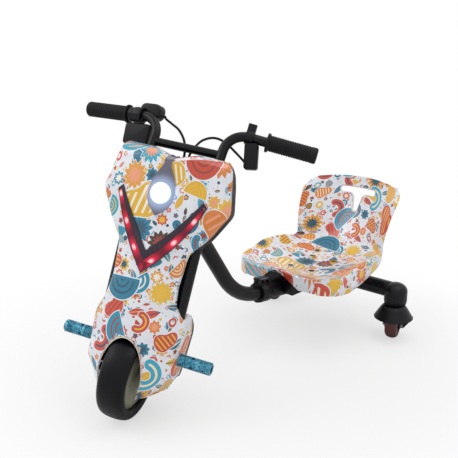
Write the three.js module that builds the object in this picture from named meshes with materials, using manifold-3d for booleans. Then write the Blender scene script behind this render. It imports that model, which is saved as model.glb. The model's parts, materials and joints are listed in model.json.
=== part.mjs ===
// Electric drift tricycle for a child: driven front wheel in a raked fork, a printed front cover with a
// headlight and a V-shaped light strip, a low telescoping frame, a moulded bucket seat and two swivel casters.
// Millimetres. +Z is up, the tricycle faces -Y and its left side is +X.
import * as THREE from "three";
import { mergeVertices } from "three/addons/utils/BufferGeometryUtils.js";
import Module from "manifold-3d";

const wasm = await Module();
wasm.setup();

const degrees = Math.PI / 180;

// Fits and finish
const gap = 0.3;
const runningGap = 0.6;
const overrun = 20;
const tubeSides = 10;
const roundSides = 12;
const wheelSides = 20;
const casterSides = 16;
const smallSides = 8;
const tinySides = 5;
const facetTolerance = 0.12;

// Front wheel
const wheelRadius = 97;
const tyreWidth = 60;
const tyreSeatRadius = 70;
const hubWidth = 52;
const hubRimWidth = 40;
const hubFaceRadius = 58;
const motorBossRadius = 20;
const motorBossWidth = 66;
const axleRadius = 6;
const axleShoulderRadius = 10;
const axleNutWidth = 19;
const axleNutThickness = 8;
const wheelSetback = 4.4;
const coverScrew = { radius: 3.5, circle: 46, proud: 1.5, count: 5 };
// Tyre section: share of the section height above the seat, share of the half width
const tyreShares = [[0, 0.62], [0.12, 0.86], [0.38, 1], [0.7, 0.87], [0.92, 0.52], [1, 0.16]];

// Steering geometry
const rakeAngle = 20.5 * degrees;
const steerAtRest = 24.8 * degrees;
const axisHeight = 97;

// Fork, in its own frame: X to the left, Y backwards from the steering axis, Z up along the axis
const legSpacing = 81;
const legRadius = 14;
const legBottom = 32;
const dropoutThickness = 6;
const dropoutInset = 21;
const dropoutWidth = 25;
const dropoutTop = 60;
const footBottom = 14;
const dropoutBottom = -14;
const crownThickness = 10;
const trayHeight = 140;
const trayThickness = 6;
const trayDepth = 40;
const crownDepth = 46;
const steererRadius = 12.5;
const pegBossRadius = 11;
const pegHeight = 62;
const pegSetback = 12;
const pegBossReach = 99;

// Foot pegs
const pegEnd = 176;
const pegRadius = 14;
const pegBore = 8.5;
const pegBoreDepth = 26;
const pegBevel = 2;
const pegCrossHole = 3.5;
const pegCrossHoleInset = 42;
const pegCrossHoleDepth = 5;
const pegCrossHoleTurn = 28 * degrees;
const pegCrossHoleCount = 4;
const pegBoltRadius = 5;
const pegBoltHeadRadius = 7.5;
const pegBoltHeadHeight = 7;
const pegBoltReach = 14;

// Battery and controller between the fork legs
const batterySize = { width: 112, depth: 58, height: 104, corner: 8 };
const controllerSize = { width: 84, depth: 44, height: 50, corner: 4 };
const caseFront = -34;

// Heights up the steering axis: the crown clears the controller, and what is above follows the crown
const batteryBottom = trayHeight + trayThickness + gap;
const controllerBottom = batteryBottom + batterySize.height + gap;
const crownClearance = 15.4;
const crownHeight = controllerBottom + controllerSize.height + crownClearance;
const lowerBearingSpace = 10;
const headTubeLength = 88;
const headTubeBottom = crownHeight + crownThickness + lowerBearingSpace;
const headTubeTop = headTubeBottom + headTubeLength;
const mainTubeDrop = 16;
const mainTubeJoin = headTubeTop - mainTubeDrop;
const legRise = 8;
const legTop = headTubeTop + legRise;
const steererRise = 23;
const steererTop = legTop + steererRise;
const barFoot = legTop + gap;

// Handlebar
const crownPlateThickness = 8;
const crownPlateLift = 2;
const barSteps = 10;
const riserFootRadius = 14;
const riserFootHeight = 22;
const barRadius = 11;
const barBend = 45;
const barCorner = { rise: 130.7, setback: 36 };
const barEnd = { reach: 272, drop: 9, setback: 65 };
const cornerHeight = barFoot + barCorner.rise;
const endHeight = cornerHeight - barEnd.drop;
const crossBarShare = 0.579;
const crossBarRadius = 8;
const steererNutWidth = 32;
const steererNutHeight = 9;
const gripRadius = 17.5;
const gripFlangeRadius = 21;
const gripFlangeLength = 5;
const gripLength = 112;
const gripEndCap = 5;
const gripBevel = 3;

// Throttle unit on the right bar and switch pod on the left bar; an inset is how far inside the grip's start a piece begins
const throttleCollar = { inset: 37, length: 20, radius: 19 };
const throttleBody = { inset: 72, length: 54, height: 36, depth: 28, rise: 14, setback: 21, corner: 14 };
const leverPaddle = { length: 42, width: 14, thickness: 7, hub: 17 };
const controlBox = { width: 66, height: 50, depth: 27, drop: 19.3, corner: 8, inset: 67 };
const powerButton = { radius: 8, height: 4, travel: 2, depth: 6 };
const pod = { inset: 47, width: 30, height: 58, depth: 28, corner: 6, top: 10, tilt: -13 * degrees };
const podClamp = { inset: 47, width: 18, rise: 30, depth: 14, radius: 15.5 };
const podButton = { radius: 5.5, height: 3, depth: 5, travel: 1.5, drop: 20 };
const podSwitch = { width: 14, height: 20, depth: 7, proud: 4, drop: 42, pin: 1.5, play: 1.2 };

// Front cover: heights along the steering axis, half widths, and depths in front of (-) or behind (+) the axis
const coverWall = 3;
const shieldTop = 494;
const shieldNotch = 15;
const shieldNotchHalf = 52;
const shieldCornerHeight = 478;
const shieldTopHalf = 116;
const shieldCornerHalf = 128;
const shieldWidestHeight = 387;
const shieldHalf = 146;
const shieldTaperHeight = 327;
const shieldTaperHalf = 113;
const waistTop = 284;
const waistTopHalf = 79;
const waistHeight = 212;
const waistHalf = 74;
const shoulderTop = 168;
const shoulderTopHalf = 79;
const shoulderHeight = 140;
const shoulderHalf = 97;
const shoulderLift = 18;
const shroudWidestHeight = 118;
const shroudHalf = 106;
const shroudLowHeight = 26;
const shroudLowHalf = 100;
const shroudBottom = -36;
const shroudBottomHalf = 82;
const shroudSplay = 0.36;
const shroudLift = 24;
const topRounding = 6;
const shieldRim = -20;
const waistRim = -24;
const shroudRim = 40;
const shieldFace = -44;
const waistFace = -48;
const shroudFace = -46;
const ridge = 20;
const coverColumns = 12;
const cornerRounding = 7;
const squareness = 4.2;

// Wheel slot in the front cover
const slotHalf = 54;
const slotTop = 88;

// Back cover and the rear half of the wheel shroud
const backDepth = 50;
const backRows = 8;
const backWindowHalf = 92;
const backWindowRise = 14;
const backWindowTop = legTop + backWindowRise;
const backBottom = 300;
const backBulgeShares = [0.06, 0.8, 1];
const grommetRadius = 19;
const grommetSetback = 26;
const shroudBackDepth = 58;
const shroudBackTop = 140;
const shroudBackBottom = 20;
const shroudBackRows = 5;
const rearSlotHalf = 44;
const rearSlotTop = 112;

// Headlight and its bezel
const lampHeight = 398;
const lampRadius = 22;
const lampProud = 4;
const lampThickness = 4;
const lampDepth = 20;
const bezelHalf = 30;
const bezelTop = 470;
const bezelPoint = 350;
const bezelStripeHalf = 8;
const bezelShoulder = 458;
// Share of the bezel's half width, fall below the lamp's centre as a share of it
const bezelShares = [[0.62, -1.35], [0.88, -0.8], [1, -0.1], [0.96, 0.45], [0.68, 1]];
const bezelProud = 3;

// V-shaped light strip
const ledArm = { x: 102, height: 399 };
const ledInnerHeight = 291;
const ledOuterHeight = 228;
const ledTipHalf = 10;
const ledStripShares = [0.07, 0.55, 0.04];
const ledProud = 2.4;
const boardThickness = 1.6;

// Head tube and main tube, in the side plane: y backwards, z up
const headTubeRadius = 22;
const headTubeBore = 15;
const bearingRadius = 20;
const mainTubeRadius = 18.5;
const mainTubeCorner = { y: 348, z: 174 };
const mainTubeBend = 165;
const mainTubeSteps = 14;
const tailSlope = 6 * degrees;
const insertEnd = 640;

// Rear frame
const sleeveStart = 427;
const sleeveRadius = 23;
const sleeveClearance = 0.5;
const beamY = 766;
const beamRadius = 22;
const casterSpacing = 209;
const socketRadius = 31;
const socketBottom = 101;
const socketTop = 154;
const domeShares = [[0.45, 0.94], [0.75, 0.74], [0.93, 0.42], [1, 0]];
const collarRadius = 26.7;
const collarLength = 36;
const collarLug = { width: 26, height: 37 };
const clampSlit = 3;
const clampBolt = { radius: 3, head: 5, headHeight: 5, overhang: 7 };
const clampBoltHeight = 31.5;
const clampBoltShares = [0.25, 0.75];

// Seat bracket
const bracketHalf = 50;
const bracketFront = 512;
const bracketRear = 742;
const bracketTop = 172;
const bracketUpstand = 196;
const bracketSlope = 575;
const bracketWall = 4;
const bracketBottom = 146;
const bracketRibShares = [0.3, 0.9];

// Seat
const seatWall = 4;
const seatFront = 498;
const seatReach = 398;
const seatBase = 163;
const seatHeight = 235;
const seatHalf = 166;
const seatSkirt = 54;
const seatColumns = 10;
const seatDishShare = 2.1;
const seatTrough = 9;
const seatTroughShare = 0.45;
const seatLipShares = [0.5, 1];
const seatSkirtShares = [0.5, 1];
const seatArchHalf = 62;
const seatArchShare = 0.85;
const seatFrontRise = 42;
const seatTuck = 17;
const seatLip = 6;
const seatHole = { half: 59, height: 357, bar: 8, stem: 12, drop: 56 };
const seatBoss = { x: 36, front: 612, rear: 716, radius: 11, frontRise: 23.5, rearRise: 25.5 };
const seatBossFloor = 20;
const seatBolt = { radius: 4, head: 8, headHeight: 3 };

// Casters
const casterWheelRadius = 38;
const casterWheelWidth = 30;
const casterTrail = 13;
const casterYaw = 197.8 * degrees;
const casterHood = { radius: 52, shoulder: 30, rim: 60, top: 94, wall: 3.5, cheek: 17, cheekWidth: 24 };
const hoodShares = [[0.3, 0.12], [0.62, 0.36], [0.86, 0.68], [1, 1]];
const casterStemRadius = 8.3;
const casterStemTop = 146;
const casterAxleRadius = 4;
const casterNut = 13;
const casterNutThickness = 6;
const casterBearingRadius = 30;
const casterWheelShares = [[0.5, 1], [0.55, 0.9], [0.72, 0.9], [0.9, 1], [1, 0.6]];

// Cables: routes in the steered frame
const cableRadius = 2.3;
const cableSides = 4;
const cableSteps = 20;
const throttleRoute = [
  [-86.5, 66, 572], [-80, 62, 566], [-60, 54, 557], [-36, 45, 545], [-15, 37, 522], [-5, 30, 492], [-7, 26, 462],
  [-15, 24, 445], [-31, 20, 433], [-38, 10, 422], [-34, -10, 408], [-22, -29, 392], [-13, -34, 370], [-12, -30, 312],
];
const switchRoute = [
  [124.5, 50, 509], [117, 54, 514], [96, 60, 527], [74, 60, 540], [54, 55, 546], [37, 48, 543], [21, 41, 531],
  [10, 35, 510], [6, 30, 490], [7, 26, 462], [15, 24, 445], [31, 20, 433], [38, 10, 422], [34, -10, 408],
  [22, -29, 392], [13, -34, 370], [12, -30, 312],
];

// Colours
const printed = new THREE.MeshStandardMaterial({ color: "#e4e1e2", roughness: 0.3, metalness: 0 });
const blackPlastic = new THREE.MeshStandardMaterial({ color: "#17171a", roughness: 0.5, metalness: 0 });
const blackPaint = new THREE.MeshStandardMaterial({ color: "#111114", roughness: 0.45, metalness: 0.2 });
const rubber = new THREE.MeshStandardMaterial({ color: "#141418", roughness: 0.8, metalness: 0 });
const tyreRubber = new THREE.MeshStandardMaterial({ color: "#15151c", roughness: 0.65, metalness: 0 });
const steel = new THREE.MeshStandardMaterial({ color: "#9a9a98", roughness: 0.35, metalness: 0.9 });
const hubGrey = new THREE.MeshStandardMaterial({ color: "#6c6c62", roughness: 0.45, metalness: 0.5 });
const blueAnodised = new THREE.MeshStandardMaterial({ color: "#2f86b4", roughness: 0.3, metalness: 0.8 });
const redTread = new THREE.MeshStandardMaterial({ color: "#4a1518", roughness: 0.5, metalness: 0 });
const bezelGrey = new THREE.MeshStandardMaterial({ color: "#5b5b72", roughness: 0.35, metalness: 0.1 });
const lampClear = new THREE.MeshStandardMaterial({ color: "#f6fbff", roughness: 0.1, metalness: 0 });
const ledRed = new THREE.MeshStandardMaterial({ color: "#d4142c", roughness: 0.2, metalness: 0 });
const ledDark = new THREE.MeshStandardMaterial({ color: "#2b1f33", roughness: 0.3, metalness: 0 });
const boardGreen = new THREE.MeshStandardMaterial({ color: "#1f4d33", roughness: 0.6, metalness: 0 });
const reflectorSilver = new THREE.MeshStandardMaterial({ color: "#d8dade", roughness: 0.15, metalness: 1 });
const signalRed = new THREE.MeshStandardMaterial({ color: "#b3252b", roughness: 0.4, metalness: 0 });

// Solid modelling helpers

/** Turns a closed geometry into a solid, dropping collapsed triangles and facing it outwards. */
function solid(geometry) {
  const bare = geometry.clone();
  bare.deleteAttribute("normal");
  bare.deleteAttribute("uv");
  const merged = mergeVertices(bare, 1e-4);
  const index = merged.index.array;
  const triangles = [];
  for (let i = 0; i < index.length; i += 3) {
    const [a, b, c] = [index[i], index[i + 1], index[i + 2]];
    if (a !== b && b !== c && c !== a) triangles.push(a, b, c);
  }
  const make = (triVerts) => new wasm.Manifold(new wasm.Mesh({
    numProp: 3,
    vertProperties: new Float32Array(merged.attributes.position.array),
    triVerts: new Uint32Array(triVerts),
  }));
  const body = make(triangles);
  if (body.volume() > 0) return body;
  const flipped = [];
  for (let i = 0; i < triangles.length; i += 3) flipped.push(triangles[i], triangles[i + 2], triangles[i + 1]);
  return make(flipped);
}

/** Turns a solid back into a geometry. */
function toGeometry(body) {
  const mesh = body.getMesh();
  const geometry = new THREE.BufferGeometry();
  geometry.setAttribute("position", new THREE.BufferAttribute(new Float32Array(mesh.vertProperties), 3));
  geometry.setIndex(new THREE.BufferAttribute(new Uint32Array(mesh.triVerts), 1));
  geometry.computeVertexNormals();
  return geometry;
}

/** Moves or turns a solid by a matrix. */
function placed(body, matrix) {
  return body.transform(matrix.elements);
}

const moved = (body, x, y, z) => placed(body, new THREE.Matrix4().makeTranslation(x, y, z));
const turnedX = (body, angle) => placed(body, new THREE.Matrix4().makeRotationX(angle));
const turnedY = (body, angle) => placed(body, new THREE.Matrix4().makeRotationY(angle));
const turnedZ = (body, angle) => placed(body, new THREE.Matrix4().makeRotationZ(angle));
const mirrored = (body) => body.mirror([1, 0, 0]);
const join = (bodies) => bodies.reduce((whole, body) => whole.add(body));
const cut = (body, tools) => tools.reduce((left, tool) => left.subtract(tool), body);

/** A box between two corners. */
function block(low, high) {
  const size = high.map((value, i) => value - low[i]);
  const geometry = new THREE.BoxGeometry(...size);
  geometry.translate(...low.map((value, i) => value + size[i] / 2));
  return solid(geometry);
}

/** A cylinder along Z from one height to another. */
function rod(radius, from, to, sides = smallSides) {
  const geometry = new THREE.CylinderGeometry(radius, radius, to - from, sides);
  geometry.rotateX(Math.PI / 2);
  geometry.translate(0, 0, (from + to) / 2);
  return solid(geometry);
}

/** A cylinder along X from one place to another. */
const rodX = (radius, from, to, sides = smallSides) => turnedY(rod(radius, from, to, sides), Math.PI / 2);

/** A drill whose flats, not its corners, have the stated radius, so that a round piece fits in its hole. */
const hole = (radius, from, to, sides = smallSides) => rod(radius / Math.cos(Math.PI / sides), from, to, sides);
const holeX = (radius, from, to, sides = smallSides) => turnedY(hole(radius, from, to, sides), Math.PI / 2);

/** A body of revolution about Z; the profile is a list of [radius, height]. */
function revolved(profile, sides = roundSides) {
  const points = profile.map(([radius, height]) => new THREE.Vector2(radius, height));
  const geometry = new THREE.LatheGeometry(points, sides);
  geometry.rotateX(Math.PI / 2);
  return solid(geometry);
}

/** An outline extruded along Z, with an optional bevel that stays inside the stated thickness. */
function extruded(shape, from, to, bevel = 0, curveSegments = 2) {
  const geometry = new THREE.ExtrudeGeometry(shape, {
    depth: to - from - 2 * bevel,
    bevelEnabled: bevel > 0,
    bevelThickness: bevel,
    bevelSize: bevel,
    bevelOffset: -bevel,
    bevelSegments: 1,
    curveSegments,
  });
  geometry.translate(0, 0, from + bevel);
  return solid(geometry);
}

/** A rectangle with round corners, centred on the origin. */
function roundedRectangle(width, height, corner) {
  const [x, y] = [width / 2, height / 2];
  const shape = new THREE.Shape();
  shape.moveTo(-x + corner, -y);
  shape.lineTo(x - corner, -y);
  shape.absarc(x - corner, -y + corner, corner, -Math.PI / 2, 0);
  shape.lineTo(x, y - corner);
  shape.absarc(x - corner, y - corner, corner, 0, Math.PI / 2);
  shape.lineTo(-x + corner, y);
  shape.absarc(-x + corner, y - corner, corner, Math.PI / 2, Math.PI);
  shape.lineTo(-x, -y + corner);
  shape.absarc(-x + corner, -y + corner, corner, Math.PI, 1.5 * Math.PI);
  return shape;
}

/** Round arc that joins two straight stretches of a bent tube. */
class BendArc extends THREE.Curve {
  constructor(centre, start, side, angle) {
    super();
    this.centre = centre;
    this.start = start;
    this.side = side;
    this.angle = angle;
  }

  getPoint(t, target = new THREE.Vector3()) {
    const turn = t * this.angle;
    target.copy(this.centre);
    target.addScaledVector(this.start, Math.cos(turn));
    return target.addScaledVector(this.side, Math.sin(turn));
  }
}

/** A path through corners, each rounded with its own bend radius. */
function bentPath(points, radii) {
  const path = new THREE.CurvePath();
  let from = points[0];
  for (let i = 1; i < points.length - 1; i += 1) {
    const incoming = points[i].clone().sub(points[i - 1]).normalize();
    const outgoing = points[i + 1].clone().sub(points[i]).normalize();
    const angle = incoming.angleTo(outgoing);
    const reach = radii[i - 1] * Math.tan(angle / 2);
    const start = points[i].clone().addScaledVector(incoming, -reach);
    const inward = outgoing.clone().addScaledVector(incoming, -outgoing.dot(incoming)).normalize();
    const centre = start.clone().addScaledVector(inward, radii[i - 1]);
    path.add(new THREE.LineCurve3(from, start));
    const startArm = inward.clone().multiplyScalar(-radii[i - 1]);
    path.add(new BendArc(centre, startArm, incoming.clone().multiplyScalar(radii[i - 1]), angle));
    from = points[i].clone().addScaledVector(outgoing, reach);
  }
  path.add(new THREE.LineCurve3(from, points[points.length - 1]));
  return path;
}

/** A round bar that follows a path. */
function swept(path, radius, steps, sides = tubeSides) {
  const section = new THREE.Shape();
  for (let i = 0; i < sides; i += 1) {
    const angle = (2 * Math.PI * i) / sides;
    const point = [radius * Math.cos(angle), radius * Math.sin(angle)];
    if (i === 0) section.moveTo(...point);
    else section.lineTo(...point);
  }
  section.closePath();
  return solid(new THREE.ExtrudeGeometry(section, { steps, bevelEnabled: false, extrudePath: path }));
}

/** Unit normals of a grid of points, facing the side given by its winding. */
function gridNormals(grid) {
  const last = grid.length - 1;
  const end = grid[0].length - 1;
  return grid.map((row, i) => row.map((point, j) => {
    const along = grid[Math.min(i + 1, last)][j].clone().sub(grid[Math.max(i - 1, 0)][j]);
    const across = row[Math.min(j + 1, end)].clone().sub(row[Math.max(j - 1, 0)]);
    return across.cross(along).normalize();
  }));
}

/** A sheet between two offsets of a grid of points, closed round its edge. */
function sheet(grid, outer, inner) {
  const normals = gridNormals(grid);
  const shifted = (offset) => grid.map((row, i) => row.map((point, j) => (
    point.clone().addScaledVector(normals[i][j], offset))));
  const layers = [shifted(outer), shifted(inner)];
  const rows = grid.length;
  const columns = grid[0].length;
  const positions = [];
  for (const layer of layers) {
    for (const row of layer) {
      for (const point of row) positions.push(point.x, point.y, point.z);
    }
  }
  const at = (layer, i, j) => layer * rows * columns + i * columns + j;
  const index = [];
  const quad = (a, b, c, d) => index.push(a, b, c, a, c, d);
  for (let i = 0; i < rows - 1; i += 1) {
    for (let j = 0; j < columns - 1; j += 1) {
      quad(at(0, i, j), at(0, i, j + 1), at(0, i + 1, j + 1), at(0, i + 1, j));
      quad(at(1, i, j), at(1, i + 1, j), at(1, i + 1, j + 1), at(1, i, j + 1));
    }
    quad(at(0, i, 0), at(0, i + 1, 0), at(1, i + 1, 0), at(1, i, 0));
    const j = columns - 1;
    quad(at(0, i, j), at(1, i, j), at(1, i + 1, j), at(0, i + 1, j));
  }
  for (let j = 0; j < columns - 1; j += 1) {
    quad(at(0, 0, j), at(1, 0, j), at(1, 0, j + 1), at(0, 0, j + 1));
    const i = rows - 1;
    quad(at(0, i, j), at(0, i, j + 1), at(1, i, j + 1), at(1, i, j));
  }
  const geometry = new THREE.BufferGeometry();
  geometry.setAttribute("position", new THREE.BufferAttribute(new Float32Array(positions), 3));
  geometry.setIndex(index);
  return solid(geometry);
}

// Cover surface: rows run down the steering axis, columns run across from the right rim to the left rim.
// Columns of the table: height, half width, depth of the rim, depth of the face, forward bulge of the middle
const coverStations = [
  [shieldTop, shieldTopHalf, shieldRim, shieldRim - coverWall, coverWall],
  [shieldTop - topRounding, shieldTopHalf + topRounding, shieldRim, shieldFace + topRounding, ridge / 2],
  [shieldCornerHeight, shieldCornerHalf, shieldRim, shieldFace, ridge],
  [shieldWidestHeight, shieldHalf, shieldRim, shieldFace, ridge],
  [shieldTaperHeight, shieldTaperHalf, shieldRim, shieldFace, ridge],
  [waistTop, waistTopHalf, waistRim, waistFace, ridge],
  [waistHeight, waistHalf, waistRim, waistFace, ridge],
  [shoulderTop, shoulderTopHalf, waistRim, waistFace, ridge],
  [shoulderHeight, shoulderHalf, shroudRim, shroudFace, ridge],
  [shroudWidestHeight, shroudHalf, shroudRim, shroudFace, ridge],
  [shroudLowHeight, shroudLowHalf, shroudRim, shroudFace, ridge],
  [shroudBottom, shroudBottomHalf, shroudRim, shroudFace, ridge],
];
const coverStepCounts = [1, 1, 2, 2, 2, 2, 1, 2, 1, 2, 2];

/** One column of the station table at a height, by straight lines between stations. */
function stationValue(height, column) {
  if (height >= coverStations[0][0]) return coverStations[0][column];
  for (let i = 1; i < coverStations.length; i += 1) {
    const [above, below] = [coverStations[i - 1], coverStations[i]];
    if (height >= below[0]) {
      const share = (above[0] - height) / (above[0] - below[0]);
      return above[column] + (below[column] - above[column]) * share;
    }
  }
  return coverStations[coverStations.length - 1][column];
}

/** The station value with its corners rounded, sharp at the very top. */
function smoothValue(height, column) {
  if (height > shieldCornerHeight) return stationValue(height, column);
  const samples = [-1, 0, 1].map((step) => stationValue(height + step * cornerRounding, column));
  return samples.reduce((sum, value) => sum + value) / samples.length;
}

/** How far the cover's top edge dips towards the middle. */
function notchDepth(x) {
  const share = Math.min(Math.abs(x) / shieldNotchHalf, 1);
  return shieldNotch * (1 - share * share * (3 - 2 * share));
}

/** Share of the top notch that a row takes, fading out down the shield. */
function notchShare(height) {
  const share = Math.max(0, Math.min(1, (height - shieldWidestHeight) / (shieldTop - shieldWidestHeight)));
  return share * share;
}

/** A point of a cover at a height and a turn from rim to rim, with the rim and face depths given. */
function coverPoint(height, turn, half, rim, face, prow) {
  const [c, s] = [Math.cos(turn), Math.sin(turn)];
  const x = -half * Math.sign(c) * Math.abs(c) ** (2 / squareness);
  const share = Math.abs(s) ** (2 / squareness);
  const depth = rim + (face - rim) * share - prow * (1 - Math.abs(x) / half) * share;
  return new THREE.Vector3(x, depth, height);
}

/** Share of a feature that a row takes: one at its height, nothing beyond its reach. */
const nearShare = (height, centre, reach) => Math.max(0, 1 - Math.abs(height - centre) / reach);

/** The front cover's outer surface as a grid of points. */
function frontGrid() {
  const heights = [coverStations[0][0]];
  coverStepCounts.forEach((count, i) => {
    const [above, below] = [coverStations[i][0], coverStations[i + 1][0]];
    for (let k = 1; k <= count; k += 1) heights.push(above + (below - above) * (k / count));
  });
  return heights.map((height) => {
    const [half, rim, face, prow] = [1, 2, 3, 4].map((column) => smoothValue(height, column));
    const row = [];
    for (let j = 0; j <= coverColumns; j += 1) {
      const point = coverPoint(height, Math.PI * (j / coverColumns), half, rim, face, prow);
      const back = (point.y - shroudFace) / (shroudRim - shroudFace);
      const low = nearShare(height, shroudBottom, shroudLowHeight - shroudBottom);
      point.x *= 1 - shroudSplay * low * (1 - Math.max(0, back));
      point.z -= notchDepth(point.x) * notchShare(height);
      point.z += shoulderLift * nearShare(height, shoulderHeight, shoulderTop - shroudWidestHeight) * back;
      point.z += shroudLift * low * Math.max(0, back);
      row.push(point);
    }
    return row;
  });
}

/** A surface that bulges backwards from the rim of a stretch of the front cover. */
function backGrid(top, bottom, rows, depth) {
  const grid = [];
  for (let i = 0; i <= rows; i += 1) {
    const height = top + (bottom - top) * (i / rows);
    const bulge = backBulgeShares[Math.min(i, backBulgeShares.length - 1)];
    const half = smoothValue(height, 1);
    const rim = smoothValue(height, 2) + gap;
    const row = [];
    for (let j = 0; j <= coverColumns; j += 1) {
      const turn = Math.PI * (1 - j / coverColumns);
      const point = coverPoint(height, turn, half, rim, rim + depth * bulge, 0);
      const back = (rim - shroudFace) / (shroudRim - shroudFace);
      point.z -= notchDepth(point.x) * notchShare(height);
      point.z += shoulderLift * nearShare(height, shoulderHeight, shoulderTop - shroudWidestHeight) * back;
      row.push(point);
    }
    grid.push(row);
  }
  return grid;
}

// Outlines seen from the front, as lists of [x, height]

/** An outline pushed outwards by an amount, with mitred corners. */
function grown(points, amount) {
  const area = points.reduce((sum, [x, y], i) => {
    const [nx, ny] = points[(i + 1) % points.length];
    return sum + x * ny - nx * y;
  }, 0);
  const way = Math.sign(area) * amount;
  return points.map((point, i) => {
    const before = points[(i + points.length - 1) % points.length];
    const after = points[(i + 1) % points.length];
    const normal = (from, to) => {
      const length = Math.hypot(to[0] - from[0], to[1] - from[1]);
      return [(to[1] - from[1]) / length, (from[0] - to[0]) / length];
    };
    const [ax, ay] = normal(before, point);
    const [bx, by] = normal(point, after);
    const scale = way / (1 + ax * bx + ay * by);
    return [point[0] + (ax + bx) * scale, point[1] + (ay + by) * scale];
  });
}

/** A prism with an outline seen from the front, between two depths. */
function frontPrism(points, from, to) {
  const shape = new THREE.Shape();
  points.forEach(([x, height], i) => (i === 0 ? shape.moveTo(x, height) : shape.lineTo(x, height)));
  shape.closePath();
  return turnedX(extruded(shape, -to, -from), Math.PI / 2);
}

const blend = ([ax, ay], [bx, by], share) => [ax + (bx - ax) * share, ay + (by - ay) * share];

/** The whole V of the light strip, or the part of it between two shares of its width, trimmed at its ends. */
function ledOutline(from, to, trim) {
  const outer = [[ledArm.x, ledArm.height - ledTipHalf], [0, ledOuterHeight]];
  const inner = [[ledArm.x - ledTipHalf, ledArm.height], [0, ledInnerHeight]];
  const edge = (share) => {
    const ends = [blend(outer[0], inner[0], share), blend(outer[1], inner[1], share)];
    return [blend(ends[0], ends[1], trim), ends[1]];
  };
  const [low, high] = [edge(from), edge(to)];
  const left = ([x, height]) => [-x, height];
  return [left(low[0]), low[1], low[0], high[0], high[1], left(high[0])];
}

/** The outline of the headlight's surround: a stripe that widens round the lamp and ends in a point. */
function bezelOutline() {
  const right = [
    [bezelStripeHalf, bezelTop],
    [bezelStripeHalf, bezelShoulder],
    ...bezelShares.map(([x, drop]) => [bezelHalf * x, lampHeight - bezelHalf * drop]),
  ];
  return [...right, [0, bezelPoint], ...right.map(([x, height]) => [-x, height]).reverse()];
}

/** The wheel slot: straight sides that end in an elliptical arch. */
function slotOutline(half, top) {
  const points = [[-half, shroudBottom - overrun], [half, shroudBottom - overrun]];
  for (let i = 0; i <= smallSides; i += 1) {
    const turn = (Math.PI * i) / smallSides;
    points.push([half * Math.cos(turn), top * Math.sin(turn)]);
  }
  return points;
}

const frontmost = shieldFace - ridge - overrun;
const cover = frontGrid();
const lampPrism = (radius, from, to) => moved(turnedX(rod(radius, -to, -from, roundSides), Math.PI / 2), 0, 0, lampHeight);

/** The printed front cover: shield, waist and the front half of the wheel shroud in one moulding. */
function frontCover() {
  const legHoles = [-1, 1].map((side) => moved(hole(legRadius + runningGap, trayHeight - overrun, legTop), side * legSpacing, 0, 0));
  const pegHole = moved(holeX(pegRadius + runningGap, -pegEnd, pegEnd, roundSides), 0, pegSetback, pegHeight);
  const behindShield = block([-2 * shieldHalf, shieldRim, shoulderTop], [2 * shieldHalf, 2 * shroudRim, 2 * shieldTop]);
  const behindShroud = block([-2 * shieldHalf, shroudRim, 2 * shroudBottom], [2 * shieldHalf, 2 * shroudRim, shieldTop]);
  return cut(sheet(cover, 0, coverWall), [
    behindShield,
    behindShroud,
    frontPrism(slotOutline(slotHalf, slotTop), frontmost, 0),
    frontPrism(grown(ledOutline(0, 1, 0), gap), frontmost, 0),
    frontPrism(grown(bezelOutline(), gap), frontmost, 0),
    ...legHoles,
    pegHole,
  ]);
}

function headlightBezel() {
  const plate = frontPrism(bezelOutline(), frontmost, 0).intersect(sheet(cover, -bezelProud, coverWall));
  return plate.subtract(lampPrism(lampRadius + gap, frontmost, 0));
}

/** The lamp's clear window, slightly domed, and the bright cup behind it. */
const lampFace = shieldFace - ridge - bezelProud;

function headlightLens() {
  const profile = [
    [0, lampFace - lampProud],
    ...domeShares.map(([out, rise]) => [lampRadius * out, lampFace - lampProud * rise]),
    [lampRadius, lampFace + lampThickness],
    [0, lampFace + lampThickness],
  ];
  return placeLamp(profile);
}

/** A body of revolution about the lamp's own axis; the profile is a list of [radius, depth]. */
function placeLamp(profile) {
  const turned = profile.map(([radius, depth]) => [radius, -depth]);
  return moved(turnedX(revolved(turned), Math.PI / 2), 0, 0, lampHeight);
}

function headlightReflector() {
  const mouth = lampFace + lampThickness + gap;
  const wall = coverWall / 2;
  const back = mouth + lampDepth;
  return placeLamp([
    [0, back],
    [lampRadius / 2, back],
    [lampRadius, mouth],
    [lampRadius - wall, mouth],
    [lampRadius / 2 - wall, back - wall],
    [0, back - wall],
  ]);
}

function ledBezel() {
  const band = frontPrism(ledOutline(0, 1, 0), frontmost, 0).intersect(sheet(cover, -ledProud, coverWall));
  return band.subtract(frontPrism(grown(ledOutline(...ledStripShares), gap), frontmost, 0));
}

function ledLens() {
  return frontPrism(ledOutline(...ledStripShares), frontmost, 0).intersect(sheet(cover, -ledProud - gap, coverWall));
}

function ledBoard() {
  const behind = sheet(cover, coverWall + gap, coverWall + gap + boardThickness);
  return frontPrism(ledOutline(0, 1, 0), frontmost, 0).intersect(behind);
}

/** The black back of the shield, open where the main tube swings. */
function backCover() {
  const window = block([-backWindowHalf, 0, backBottom - overrun], [backWindowHalf, backDepth + overrun, backWindowTop]);
  const cableHole = moved(rod(grommetRadius, backWindowTop, shieldTop + overrun), 0, grommetSetback, 0);
  const legHoles = [-1, 1].map((side) => moved(hole(legRadius + runningGap, backBottom - overrun, legTop), side * legSpacing, 0, 0));
  const riserHoles = [-1, 1].map((side) => {
    const riser = swept(barPath(), barRadius + runningGap, barSteps);
    return side > 0 ? riser : mirrored(riser);
  });
  const front = block([-2 * shieldHalf, frontmost, 0], [2 * shieldHalf, shieldRim + gap, 2 * shieldTop]);
  return cut(sheet(backGrid(shieldTop, backBottom, backRows, backDepth), 0, coverWall), [
    front, window, cableHole, ...legHoles, ...riserHoles,
  ]);
}

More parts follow.
